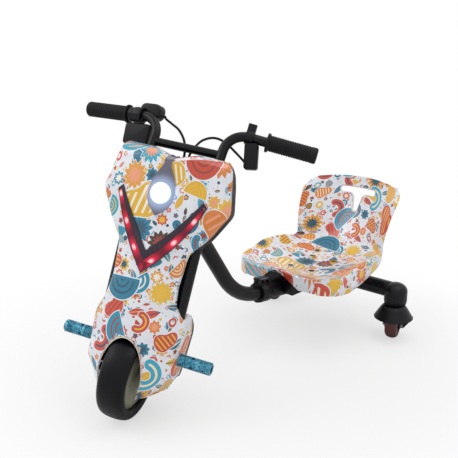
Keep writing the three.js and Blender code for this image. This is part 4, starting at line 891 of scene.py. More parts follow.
def prism(name: str, outline: Sequence[tuple[float, float]], start: float, end: float, bevel: float = 0.0) -> Piece:
    """A prism along Z.

    Args:
        name: the piece's name.
        outline: its outline in X and Y.
        start: its lower end.
        end: its upper end.
        bevel: the rounding of its edges.

    Returns:
        The piece.
    """
    mesh = bpy.data.meshes.new(name)
    mesh.from_pydata([(x, y, start) for x, y in outline], [], [list(range(len(outline)))])
    piece = put_in_scene(name, mesh)

    def draw_up() -> None:
        """Draws the face up into a prism."""
        bpy.ops.mesh.extrude_region_move(TRANSFORM_OT_translate={"value": (0, 0, end - start)})
        face_outwards()

    edit(piece, draw_up)
    return soften(piece, bevel)


def mark(piece: Piece, name: str, places: Iterable[Place]) -> None:
    """Gives each vertex of a piece a place that its finish reads, under an attribute's name."""
    marks = piece.data.attributes.new(name, "FLOAT_VECTOR", "POINT")
    marks.data.foreach_set("vector", [value for place in places for value in place])


def moulded(name: str, rows: Sequence[Points], outward: Sequence[float], wall: float,
            places: Sequence[Sequence[Place]] = (), plain_inside: bool = False) -> Piece:
    """A moulded wall whose outer face passes through a grid of points.

    Args:
        name: the piece's name.
        rows: the grid of points.
        outward: a direction that its first face looks to, roughly.
        wall: its thickness, inwards.
        places: where the print lies on it, in millimetres.
        plain_inside: whether its inner face has no print.

    Returns:
        The piece.
    """
    across, down = len(rows[0]), len(rows)
    bpy.ops.mesh.primitive_grid_add(x_subdivisions=across - 1, y_subdivisions=down - 1, size=2)
    piece = bpy.context.object
    piece.name = name
    mesh = piece.data
    for vertex, point in zip(mesh.vertices, (point for row in rows for point in row)):
        vertex.co = point
    if places:
        mark(piece, "print_place", (place for row in places for place in row))
    mesh.update()
    middle = mesh.polygons[len(mesh.polygons) // 2 + across // 2]
    if middle.normal.dot(Vector(outward)) < 0:
        edit(piece, bpy.ops.mesh.flip_normals)
    modify(piece, "SOLIDIFY", thickness=wall, offset=-1, use_even_offset=False, use_quality_normals=True)
    if plain_inside:
        for spot in piece.data.attributes["print_place"].data[across * down:]:
            spot.vector.z = 1
    return piece


def cut(piece: Piece, *tools: Piece, way: str = "DIFFERENCE") -> Piece:
    """Cuts a piece with tools, which are then removed.

    Args:
        piece: the piece.
        tools: the tools.
        way: whether the piece loses or keeps what it shares with a tool.

    Returns:
        The piece.
    """
    for tool in tools:
        modify(piece, "BOOLEAN", object=tool, operation=way, solver="EXACT")
        bpy.data.objects.remove(tool)
    return piece


def merge(name: str, *parts: Piece) -> Piece:
    """Joins parts into one piece, as welded or moulded together.

    Args:
        name: the piece's name.
        parts: the parts.

    Returns:
        The piece.
    """
    deselect()
    for part in parts:
        part.select_set(True)
    bpy.context.view_layer.objects.active = parts[0]
    bpy.ops.object.join()
    parts[0].name = name
    return parts[0]


def move(piece: Piece, matrix: Matrix) -> Piece:
    """Moves a mesh by a matrix and keeps its faces outwards.

    Args:
        piece: the piece.
        matrix: the matrix.

    Returns:
        The piece.
    """
    piece.data.transform(matrix)
    if matrix.determinant() < 0:
        piece.data.flip_normals()
    piece.data.update()
    return piece


def twin(piece: Piece, matrix: Matrix) -> Piece:
    """A copy of a piece with its own mesh, moved by a matrix.

    Args:
        piece: the piece.
        matrix: the matrix.

    Returns:
        The copy.
    """
    copy = piece.copy()
    copy.data = piece.data.copy()
    bpy.context.scene.collection.objects.link(copy)
    return move(copy, matrix)


def refined(name: str, node: Piece, bevel: float) -> Piece:
    """A copy of a frame node, in metres, with its facets merged and its edges rounded.

    Args:
        name: the copy's name.
        node: the node.
        bevel: the width of the rounding in millimetres.

    Returns:
        The copy.
    """
    copy = twin(node, Matrix())
    copy.parent = None
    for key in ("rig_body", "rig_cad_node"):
        if key in copy:
            del copy[key]
    copy.name = name

    def merge_facets() -> None:
        """Welds the loose triangles and dissolves flat seams."""
        bpy.ops.mesh.customdata_custom_splitnormals_clear()
        bpy.ops.mesh.remove_doubles(threshold=1e-6)
        bpy.ops.mesh.dissolve_limited(angle_limit=math.radians(1.0))

    edit(copy, merge_facets)
    return soften(copy, bevel * MILLIMETRE, 2, 28)


# Lines and outlines


def quarter(steps: int) -> list[float]:
    """The angles of a quarter turn in equal steps."""
    return [math.pi / 2 * k / steps for k in range(steps + 1)]


def mirrored(outline: Profile) -> list[tuple[float, float]]:
    """The other half of a turned outline that is the same above and below."""
    return [(r, -z) for r, z in reversed(outline)]


def bent(points: Points, radius: float, steps: int = 12) -> list[Vector]:
    """A line from one point to another, round a corner between them.

    Args:
        points: the start, the corner and the end.
        radius: the radius of the bend.
        steps: how many steps the bend has.

    Returns:
        The line's points.
    """
    before, corner, after = points
    back, on = (before - corner).normalized(), (after - corner).normalized()
    half = back.angle(on) / 2
    reach = radius / math.tan(half)
    centre = corner + (back + on).normalized() * (radius / math.sin(half))
    start, end = corner + back * reach - centre, corner + on * reach - centre
    sweep = start.angle(end)
    line = [before.copy()]
    for k in range(steps + 1):
        share = k / steps
        line.append(centre + (start * math.sin((1 - share) * sweep) + end * math.sin(share * sweep)) / math.sin(sweep))
    return [*line, after.copy()]


def rounded(width: float, height: float, corner: float, steps: int = 6) -> list[tuple[float, float]]:
    """The outline of a rectangle with round corners, about the origin.

    Args:
        width: its width.
        height: its height.
        corner: the radius of its corners.
        steps: how many steps a corner has.

    Returns:
        The outline.
    """
    points = []
    for turn, (sx, sy) in enumerate([(1, 1), (-1, 1), (-1, -1), (1, -1)]):
        for k in range(steps + 1):
            angle = math.pi / 2 * (turn + k / steps)
            points.append((sx * (width / 2 - corner) + corner * math.cos(angle),
                           sy * (height / 2 - corner) + corner * math.sin(angle)))
    return points


def eased(a: float, b: float, c: float, d: float, t: float) -> float:
    """A value, or a point, between b and c on a smooth curve that also passes a and d."""
    return 0.5 * (2 * b + (c - a) * t + (2 * a - 5 * b + 4 * c - d) * t * t + (3 * b - a - 3 * c + d) * t ** 3)


def smooth_line(points: Points, steps: int) -> list[Vector]:
    """A smooth line through all points.

    Args:
        points: the points.
        steps: how many steps lie between each two.

    Returns:
        The line's points.
    """
    knots = [points[0] * 2 - points[1], *points, points[-1] * 2 - points[-2]]
    fours = zip(knots, knots[1:], knots[2:], knots[3:])
    return [*(eased(*four, k / steps) for four in fours for k in range(steps)), points[-1].copy()]


def developed(rows: Sequence[Points]) -> list[list[Place]]:
    """Where each point of a surface lies when it is rolled flat from its middle column.

    Args:
        rows: the surface's grid of points.

    Returns:
        The place of each point, in the grid's own unit, with a Z of nought.
    """
    middle = len(rows[0]) // 2
    down, places = 0.0, []
    for i, row in enumerate(rows):
        if i:
            down += (row[middle] - rows[i - 1][middle]).length
        spans = [0.0]
        for a, b in zip(row, row[1:]):
            spans.append(spans[-1] + (b - a).length)
        places.append([(span - spans[middle], -down, 0.0) for span in spans])
    return places


# Layout


@dataclass
class Layout:
    """Where the sub-assemblies stand, worked out from the frame's joints, and what several of them share."""

    joints: dict[str, dict]
    rake: float = math.radians(20.5)
    steer: float = math.radians(24.8)
    axis_height: float = 97.0
    steering_mark: float = 380.0
    leg_x: float = 81.0
    leg_top: float = 432.0
    leg_radius: float = 14.0
    peg_axis: tuple[float, float] = (12.0, 62.0)
    lamp_height: float = 398.0
    bar_foot: Place = (81.0, 0.0, 432.3)
    bar_corner: Place = (81.0, 36.0, 563.0)
    bar_end: Place = (272.0, 65.0, 554.0)
    bar_radius: float = 11.0
    tail_corner: tuple[float, float] = (348.0, 174.0)
    tail_slope: float = math.radians(6)
    sleeve_y: float = 427.0
    tail_end_y: float = 640.0
    beam_y: float = 766.0
    caster_x: float = 209.0
    caster_yaw: float = math.radians(197.8)
    shift: Vector = field(init=False)

    def __post_init__(self) -> None:
        """Finds the frame's origin from the steering joint."""
        local = Matrix.Rotation(-self.rake, 4, "X") @ Vector((0, 0, self.steering_mark))
        local += Vector((0, 0, self.axis_height))
        self.shift = Vector(self.joints["steering"]["pos_m"]) / MILLIMETRE - local

    @property
    def whole(self) -> Matrix:
        """From the side plane's millimetres to the frame."""
        return Matrix.Scale(MILLIMETRE, 4) @ Matrix.Translation(self.shift)

    @property
    def head(self) -> Matrix:
        """From the head tube's millimetres, raked but not steered, to the side plane's."""
        return at(0, 0, self.axis_height) @ Matrix.Rotation(-self.rake, 4, "X")

    @property
    def steered(self) -> Matrix:
        """From the fork's millimetres to the frame."""
        raked = self.whole @ at(0, 0, self.axis_height) @ Matrix.Rotation(-self.rake, 4, "X")
        return raked @ Matrix.Rotation(self.steer, 4, "Z")

    @property
    def wheel(self) -> Matrix:
        """From the front wheel's millimetres, with its axle along Z, to the frame."""
        hub = self.steered.inverted() @ Vector(self.joints["front_wheel_spin"]["pos_m"])
        return self.steered @ Matrix.Translation(hub) @ ALONG_X

    @property
    def bar_line(self) -> list[Vector]:
        """The middle line of the left riser and bar."""
        return bent([Vector(self.bar_foot), Vector(self.bar_corner), Vector(self.bar_end)], 45)

    def bar(self, reach: float, side: Side) -> Matrix:
        """A place on the bar, to the frame: X backwards, Y up, Z outwards along the bar.

        Args:
            reach: how far the place is from the middle.
            side: its side.

        Returns:
            The place.
        """
        corner, end = Vector(self.bar_corner), Vector(self.bar_end)
        along = (end - corner).normalized()
        place = corner + along * ((reach - corner.x) / along.x)
        back = Vector((0, 0, 1)).cross(along).normalized()
        basis = Matrix((back, along.cross(back), along)).transposed().to_4x4()
        return self.steered @ side.flip @ Matrix.Translation(place) @ basis

    def tail_height(self, y: float) -> float:
        """The height of the low tube's middle line."""
        return self.tail_corner[1] - math.tan(self.tail_slope) * (y - self.tail_corner[0])

    def caster(self, side: Side) -> Matrix:
        """A caster's millimetres to the frame, its stem on the origin and its wheel behind it along Y."""
        return self.whole @ at(side.value * self.caster_x, self.beam_y) @ Matrix.Rotation(self.caster_yaw, 4, "Z")


@dataclass
class Builder:
    """What every sub-assembly needs: the frame, the layout and the finishes."""

    frame: dict
    layout: Layout
    paints: Paints
    slots: dict[str, str] = field(init=False)

    def __post_init__(self) -> None:
        """Reads each node's slot from the record and gives each node its finish."""
        self.slots = {part["node"]: part["material_slot"] for part in self.frame["record"]["subparts"]}
        for name, node in self.frame["nodes"].items():
            node.data.materials.clear()
            node.data.materials.append(self.paints.of(self.slots[name]))

    def release(self, piece: Piece, body: Body, *replaces: str, place: Matrix | None = None, angle: float = 40,
                like: str = "", blackened: bool = False) -> None:
        """Finishes a piece: its place, shading, material, body and what it stands for.

        Args:
            piece: the piece.
            body: the body that it rides on.
            replaces: the frame nodes that it stands for.
            place: its place in the frame, if it is still in millimetres.
            angle: the largest angle, in degrees, that is shaded smooth.
            like: the node whose slot it takes, if that isn't the first one that it stands for.
            blackened: whether its steel is blackened.
        """
        if place is not None:
            move(piece, place)
        pick(piece)
        bpy.ops.object.shade_smooth_by_angle(angle=math.radians(angle))
        slot = self.slots[like or replaces[0]]
        piece.data.materials.clear()
        piece.data.materials.append(self.paints.of(slot, blackened))
        if replaces:
            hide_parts(*replaces)
        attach(piece, body.value)
        LOG.info("%s rides on %s", piece.name, body.value)

    def trim(self, ending: str, body: Body, blackened: bool = False, **bevels: float) -> None:
        """Releases copies of frame nodes with rounded edges.

        Args:
            ending: what the pieces' names add to the nodes' names.
            body: the body that they ride on.
            blackened: whether their steel is blackened.
            bevels: the rounding of each node's edges, in millimetres.
        """
        for node, bevel in bevels.items():
            piece = refined(node + ending, self.frame["nodes"][node], bevel)
            self.release(piece, body, node, blackened=blackened and self.slots[node] == "steel")


# Front cover


@dataclass
class CoverForm:
    """The surface that the front cover, the back cover and both shroud halves share.

    Each station gives a height along the steering axis, the half width, the depths of rim and face, and the bulge.
    """

    stations: tuple[tuple[float, ...], ...] = (
        (494, 116, -20, -23, 3),
        (488, 122, -20, -38, 10),
        (478, 128, -20, -44, 20),
        (387, 146, -20, -44, 20),
        (327, 113, -20, -44, 20),
        (284, 79, -24, -48, 20),
        (212, 74, -24, -48, 20),
        (168, 79, -24, -48, 20),
        (140, 97, 40, -46, 20),
        (118, 106, 40, -46, 20),
        (26, 100, 40, -46, 20),
        (-36, 82, 40, -46, 20),
    )
    top: float = 494
    neck_height: float = 488
    corner_height: float = 478
    widest_height: float = 387
    shroud_top: float = 140
    foot: float = -36
    rounding: float = 9
    squareness: float = 4.2
    notch: float = 15
    notch_half: float = 52
    shroud_rim: float = 40
    shroud_face: float = -46
    splay: float = 0.36
    low_reach: float = 62
    shoulder_lift: float = 18
    shoulder_reach: float = 50
    shroud_lift: float = 24
    back_bulge: tuple[float, ...] = (0.06, 0.8, 1)
    back_gap: float = 0.3

    def straight(self, height: float) -> list[float]:
        """Half width, rim, face and bulge at a height, by straight lines between the stations.

        Args:
            height: the height.

        Returns:
            The four lengths.
        """
        if height >= self.stations[0][0]:
            return list(self.stations[0][1:])
        for above, below in zip(self.stations, self.stations[1:]):
            if height >= below[0]:
                share = (above[0] - height) / (above[0] - below[0])
                return [a + (b - a) * share for a, b in zip(above[1:], below[1:])]
        return list(self.stations[-1][1:])

    def section(self, height: float) -> list[float]:
        """The same with the table's corners rounded, sharp at the very top.

        Args:
            height: the height.

        Returns:
            The four lengths.
        """
        if height > self.corner_height:
            return self.straight(height)
        steps = range(-4, 5)
        weights = [math.exp(-(step / 2) ** 2) for step in steps]
        samples = zip(*[self.straight(height + step / 2 * self.rounding) for step in steps])
        return [sum(w * s for w, s in zip(weights, column)) / sum(weights) for column in samples]

    def point(self, height: float, turn: float, half: float, rim: float, face: float, prow: float = 0) -> Vector:
        """A point of a level section.

        Args:
            height: its height.
            turn: the turn from one rim to the other, in radians.
            half: the half width.
            rim: the depth of the rim.
            face: the depth of the face.
            prow: how far the middle stands out beyond it.

        Returns:
            The point.
        """
        c, s = math.cos(turn), math.sin(turn)
        x = -half * math.copysign(abs(c) ** (2 / self.squareness), c)
        share = abs(s) ** (2 / self.squareness)
        return Vector((x, rim + (face - rim) * share - prow * (1 - abs(x) / half) * share, height))

    def lift(self, x: float, height: float, back: float) -> float:
        """How far a point leaves its level, where the top edge dips and the shroud's shoulder rises.

        Args:
            x: how far the point is from the middle.
            height: its level.
            back: the share of the shroud's depth at which it lies.

        Returns:
            The lift.
        """
        across = min(abs(x) / self.notch_half, 1)
        up = max(0.0, min(1.0, (height - self.widest_height) / (self.top - self.widest_height)))
        dip = self.notch * (1 - across * across * (3 - 2 * across)) * (up * up)
        shoulder = max(0.0, 1 - abs(height - self.shroud_top) / self.shoulder_reach)
        return -dip + self.shoulder_lift * shoulder * back

    def depth_share(self, y: float) -> float:
        """The share of the shroud's depth, from face to rim, at which a point lies."""
        return (y - self.shroud_face) / (self.shroud_rim - self.shroud_face)

    def front(self, offset: float = 0.0, rows: int = 110, columns: int = 72) -> list[list[Vector]]:
        """The front cover's outer surface.

        Args:
            offset: how far it stands before that surface.
            rows: how many rows lie below the neck.
            columns: how many columns it has.

        Returns:
            The grid of points, from the top down.
        """
        neck, steps = self.neck_height, int(self.top - self.neck_height)
        heights = [self.top - k for k in range(steps)]
        heights += [neck - (neck - self.foot) * k / rows for k in range(rows + 1)]
        grid = []
        for height in heights:
            section = self.section(height)
            low = max(0.0, 1 - abs(height - self.foot) / self.low_reach)
            row = []
            for j in range(columns + 1):
                turn = math.pi * (0.5 - 0.5 * math.cos(math.pi * j / columns)) * 0.5 + math.pi * j / columns * 0.5
                point = self.point(height, turn, *section)
                back = self.depth_share(point.y)
                point.x *= 1 - self.splay * low * (1 - max(0.0, back))
                point.z += self.lift(point.x, height, back) + self.shroud_lift * low * max(0.0, back)
                row.append(point)
            grid.append(row)
        return self.pushed(grid, offset) if offset else grid

    def back(self, top: float, bottom: float, depth: float, rows: int = 44, columns: int = 56) -> list[list[Vector]]:
        """A surface that bulges backwards from a stretch of the front cover's rim.

        Args:
            top: where the stretch starts.
            bottom: where it ends.
            depth: how far it bulges.
            rows: how many rows it has.
            columns: how many columns it has.

        Returns:
            The grid of points.
        """
        grid, shares = [], self.back_bulge
        for i in range(rows + 1):
            height = top + (bottom - top) * i / rows
            spot = min(8 * i / rows, len(shares) - 1)
            k = min(int(spot), len(shares) - 2)
            bulge = shares[k] + (shares[k + 1] - shares[k]) * (spot - k)
            half, rim = self.section(height)[:2]
            rim += self.back_gap
            row = [self.point(height, math.pi * (1 - j / columns), half, rim, rim + depth * bulge)
                   for j in range(columns + 1)]
            for point in row:
                point.z += self.lift(point.x, height, self.depth_share(rim))
            grid.append(row)
        return grid

    @staticmethod
    def pushed(grid: list[list[Vector]], offset: float) -> list[list[Vector]]:
        """A grid moved along its normals.

        Args:
            grid: the grid.
            offset: how far it moves forwards.

        Returns:
            The moved grid.
        """
        last, end = len(grid) - 1, len(grid[0]) - 1
        out = []
        for i, row in enumerate(grid):
            line = []
            for j, point in enumerate(row):
                along = grid[min(i + 1, last)][j] - grid[max(i - 1, 0)][j]
                across = row[min(j + 1, end)] - row[max(j - 1, 0)]
                line.append(point - across.cross(along).normalized() * offset)
            out.append(line)
        return out


@dataclass
class FrontCover:
    """The printed cover with its headlight and light strip, and the black backs of shield and shroud."""

    kit: Builder
    form: CoverForm = field(default_factory=CoverForm)
    wall: float = 3.0
    clearance: float = 0.6
    depth: float = 120
    slot_half: float = 49.5
    slot_top: float = 88
    slot_foot: float = -70
    slot_taper: float = 12
    leg_notch_foot: float = 120
    lamp_radius: float = 22
    lamp_face: float = -67
    lamp_tip: float = -71
    surround_size: float = 30
    strip_wall: float = 3.4
    arm_end: tuple[float, float] = (102, 399)
    arm_outer: float = 228
    arm_inner: float = 276
    arm_tip: float = 10
    arm_bows: tuple[float, float] = (10.5, 4)
    first_diodes: tuple[float, float] = (32, 57)

    def window(self, outline: Sequence[tuple[float, float]]) -> Piece:
        """A cutter with an outline seen from the front."""
        return move(prism("cutter", outline, 0, self.depth), FORWARDS)

    def slot(self, half: float, top: float) -> list[tuple[float, float]]:
        """The outline of the wheel's slot, narrower at its foot."""
        arch = [(half * math.cos(math.pi * k / 32), top * math.sin(math.pi * k / 32)) for k in range(33)]
        return [(self.slot_taper - half, self.slot_foot), (half - self.slot_taper, self.slot_foot), *arch]

    def arm(self, along: float, share: float) -> Vector:
        """A point of the light strip's right arm.

        Args:
            along: a share of its length, from the tip.
            share: a share across it, from its outer edge.

        Returns:
            The point, seen from the front.
        """
        x, up = self.arm_end
        start, end = Vector((0, self.arm_outer)), Vector((x, up - self.arm_tip))
        inner = Vector((0, self.arm_inner)).lerp(Vector((x - self.arm_tip, up)), along)
        way = (end - start).normalized()
        bow = Vector((way.y, -way.x)) * 4 * along * (1 - along)
        return (start.lerp(end, along) + bow * self.arm_bows[0]).lerp(inner + bow * self.arm_bows[1], share)

    def strip(self, low: float, high: float, trim: float) -> list[tuple[float, float]]:
        """The V of the light strip.

        Args:
            low: the share of its width where it starts.
            high: the share where it ends.
            trim: the share of its arms that is left out at their ends.

        Returns:
            The outline, seen from the front.
        """
        steps = [(1 - trim) * k / 12 for k in range(13)]
        outer, inner = ([self.arm(t, share) for t in steps] for share in (low, high))
        right = [(p.x, p.y) for p in (*outer, *reversed(inner))]
        return [*right, *[(-p.x, p.y) for p in (*inner[1:], *reversed(outer[1:]))]]

    def strip_place(self, point: Vector) -> Place:
        """Where a point of the strip lies: along its arm from the first diode, and across from its middle.

        Args:
            point: the point.

        Returns:
            The two lengths, and a nought.
        """
        start, end = self.arm(0, 0), self.arm(1, 0)
        spot, way = Vector((abs(point.x), point.z)), (end - start).normalized()
        along = (spot - start).dot(way)
        middle = self.arm(max(0.0, min(1.0, along / (end - start).length)), 0.31)
        first = self.first_diodes[0 if point.x > 0 else 1]
        return along - first, (spot - middle).dot(Vector((way.y, -way.x))), 0.0

    def surround(self) -> list[tuple[float, float]]:
        """The outline of the headlight's surround, with its neck up to the cover's edge.

        Returns:
            The outline, seen from the front.
        """
        shares = [(0.62, -1.35), (0.88, -0.8), (1, -0.1), (0.96, 0.45), (0.68, 1)]
        round_lamp = [(self.surround_size * x, self.kit.layout.lamp_height - self.surround_size * y) for x, y in shares]
        right = [(8, 484), (8, 458), *round_lamp]
        return [*right, (0, 350), *[(-x, y) for x, y in reversed(right)]]

    def inlay(self, name: str, proud: float, wall: float, outline: Sequence[tuple[float, float]]) -> Piece:
        """A sheet that follows the cover, within an outline.

        Args:
            name: the piece's name.
            proud: how far it stands before the cover.
            wall: its thickness.
            outline: the outline, seen from the front.

        Returns:
            The piece.
        """
        return cut(moulded(name, self.form.front(proud), (0, -1, 0), wall), self.window(outline), way="INTERSECT")

    def legs(self, foot: float) -> list[Piece]:
        """Cutters for the fork's legs, from a height upwards."""
        layout, radius = self.kit.layout, self.kit.layout.leg_radius + self.clearance
        return [move(rod("cutter", radius, foot, layout.leg_top), at(side.value * layout.leg_x)) for side in Side]

    def build(self) -> None:
        """Builds the cover, its headlight, its light strip and its backs."""
        kit, layout, place = self.kit, self.kit.layout, self.kit.layout.steered
        rows = self.form.front()
        cover = moulded("printed_cover", rows, (0, -1, 0), self.wall, developed(rows), plain_inside=True)
        soften(cover, 0.9, 2, 60)
        pegs = move(rod("cutter", layout.leg_radius + self.clearance, -180, 180), at(0, *layout.peg_axis) @ ALONG_X)
        cut(cover, self.window(self.slot(self.slot_half, self.slot_top)), *self.legs(self.leg_notch_foot), pegs)
        kit.release(cover, Body.STEERING, "front_cover", place=place, angle=32)

        forwards = at(0, 0, layout.lamp_height) @ FORWARDS
        surround = self.inlay("lamp_surround", 3, self.wall, self.surround())
        cut(surround, move(rod("cutter", self.lamp_radius + 0.3, 0, self.depth, 64), forwards))
        kit.release(surround, Body.STEERING, "headlight_bezel", place=place, angle=30)
        band = self.inlay("light_band", 2.4, self.strip_wall, self.strip(0, 1, 0))
        cut(band, self.window(self.strip(0.05, 0.57, 0.03)))
        kit.release(band, Body.STEERING, "led_bezel", place=place, angle=30)
        strip = self.inlay("light_strip", 2.0, self.strip_wall, self.strip(0.07, 0.55, 0.04))
        mark(strip, "strip_place", [self.strip_place(vertex.co) for vertex in strip.data.vertices])
        kit.release(strip, Body.STEERING, "led_lens", place=place, angle=30)
        dome = [(self.lamp_radius * math.sin(turn), 4 * math.cos(turn)) for turn in quarter(12)]
        lens = spun("headlight_window", [*dome, (self.lamp_radius, -4), (0, -4)], 72)
        move(lens, at(0, self.lamp_face, layout.lamp_height) @ FORWARDS)
        kit.release(lens, Body.STEERING, "headlight_lens", place=place, angle=60)

        bars = [move(tube("cutter", layout.bar_line, layout.bar_radius + self.clearance), side.flip) for side in Side]
        window = block("cutter", (-92, 0, 280), (92, 70, 446))
        cable_hole = move(rod("cutter", 19, 440.3, 515.1), at(0, 26))
        self.back("shield_back", "back_cover", 7.0, (494, 300, 50), *self.legs(280), *bars, window, cable_hole)
        slot = move(self.window(self.slot(44, 112)), at(0, 118))
        self.back("shroud_back_half", "shroud_back", 2.6, (140, 20, 56), slot)

    def back(self, name: str, node: str, squareness: float, stretch: Place, *tools: Piece) -> None:
        """Builds the black back of the shield or the shroud.

        Args:
            name: the piece's name.
            node: the frame node that it stands for.
            squareness: how square its section is.
            stretch: its top, its bottom and its depth.
            tools: what is cut out of it.
        """
        rows = replace(self.form, squareness=squareness).back(*stretch)
        piece = cut(moulded(name, rows, (0, 1, 0), self.wall), *tools)
        self.kit.release(piece, Body.STEERING, node, place=self.kit.layout.steered)


# Fork, handlebar and controls


@dataclass
class Handlebar:
    """The bar with its risers, grips and controls."""

    kit: Builder
    foot_top: float = 454.3
    cross_height: float = 508
    cross_radius: float = 9.6
    plate_bottom: float = 434.3
    plate_thickness: float = 8
    grip_start: float = 165
    grip_bore: float = 11.3
    grip_radius: float = 17.5
    rib_pitch: float = 5.4
    ribs_start: float = 9
    rib_count: int = 16
    web_reach: float = 134

    def build(self) -> None:
        """Builds the bar, grips and controls."""
        kit, layout = self.kit, self.kit.layout
        x, _, bottom = layout.bar_foot
        top = self.foot_top
        riser = tube("riser", layout.bar_line, layout.bar_radius, 32)
        foot = move(rod("foot", layout.leg_radius, bottom, top, 48, 1.5), at(x))
        bead = spun("bead", [(10, top), (14.2, top), (13.4, top + 2), (11.2, top + 3.4), (10, top + 3.4)], 32)
        left = merge("left_half", riser, foot, move(bead, at(x, 6)))
        lean = layout.bar_corner[1] / (layout.bar_corner[2] - bottom) * (self.cross_height - bottom)
        cross = move(rod("cross", self.cross_radius, -x, x, 32), at(0, lean, self.cross_height) @ ALONG_X)
        right = twin(left, Side.RIGHT.flip)
        plate = prism("plate", rounded(176, 28, 7), self.plate_bottom, self.plate_bottom + self.plate_thickness, 1.2)
        weldment = merge("handlebar_weldment", left, right, cross, plate)
        kit.release(weldment, Body.STEERING, "handlebar", place=layout.steered)
        for side in Side:
            self.grip(side)
        for body, node, bevel in (
            (Body.STEERING, "throttle_housing", 1.2),
            (Body.THUMB_THROTTLE, "thumb_throttle", 0.9),
            (Body.STEERING, "control_box", 1.0),
            (Body.POWER_BUTTON, "power_button", 0.8),
            (Body.STEERING, "switch_pod", 1.0),
            (Body.STEERING, "pod_clamp", 0.9),
            (Body.HORN_BUTTON, "horn_button", 0.7),
            (Body.LIGHT_SWITCH, "light_switch", 0.6),
            (Body.STEERING, "steerer_nut", 0.6),
        ):
            kit.trim("_moulding", body, **{node: bevel})
        web = block("control_box_web", (-9, -34, -11), (3, -4, 12), 3, 3)
        kit.release(web, Body.STEERING, place=layout.bar(self.web_reach, Side.RIGHT), like="control_box")

    def grip(self, side: Side) -> None:
        """Builds a ribbed rubber grip with a flange.

        Args:
            side: its side.
        """
        bore, crest, foot = self.grip_bore, self.grip_radius, self.grip_radius - 1
        profile = [(bore, 0), (20.4, 0), (21, 0.8), (21, 4.2), (20.4, 5), (18.2, 5.4), (17.0, 8)]
        for z in [self.ribs_start + k * self.rib_pitch for k in range(self.rib_count)]:
            end = z + self.rib_pitch
            profile += [(foot, z), (crest, z + 0.7), (crest, end - 1.7), (foot, end - 1.0)]
        profile += [(16.9, 97.5), (17.5, 99), (17.5, 109), (16.2, 111.2), (14.5, 112), (0, 112), (0, 110), (bore, 110)]
        grip = spun("grip_sleeve_" + side.word, profile, 48)
        place = self.kit.layout.bar(self.grip_start, side)
        self.kit.release(grip, Body.STEERING, "grip_" + side.word, place=place, angle=30)


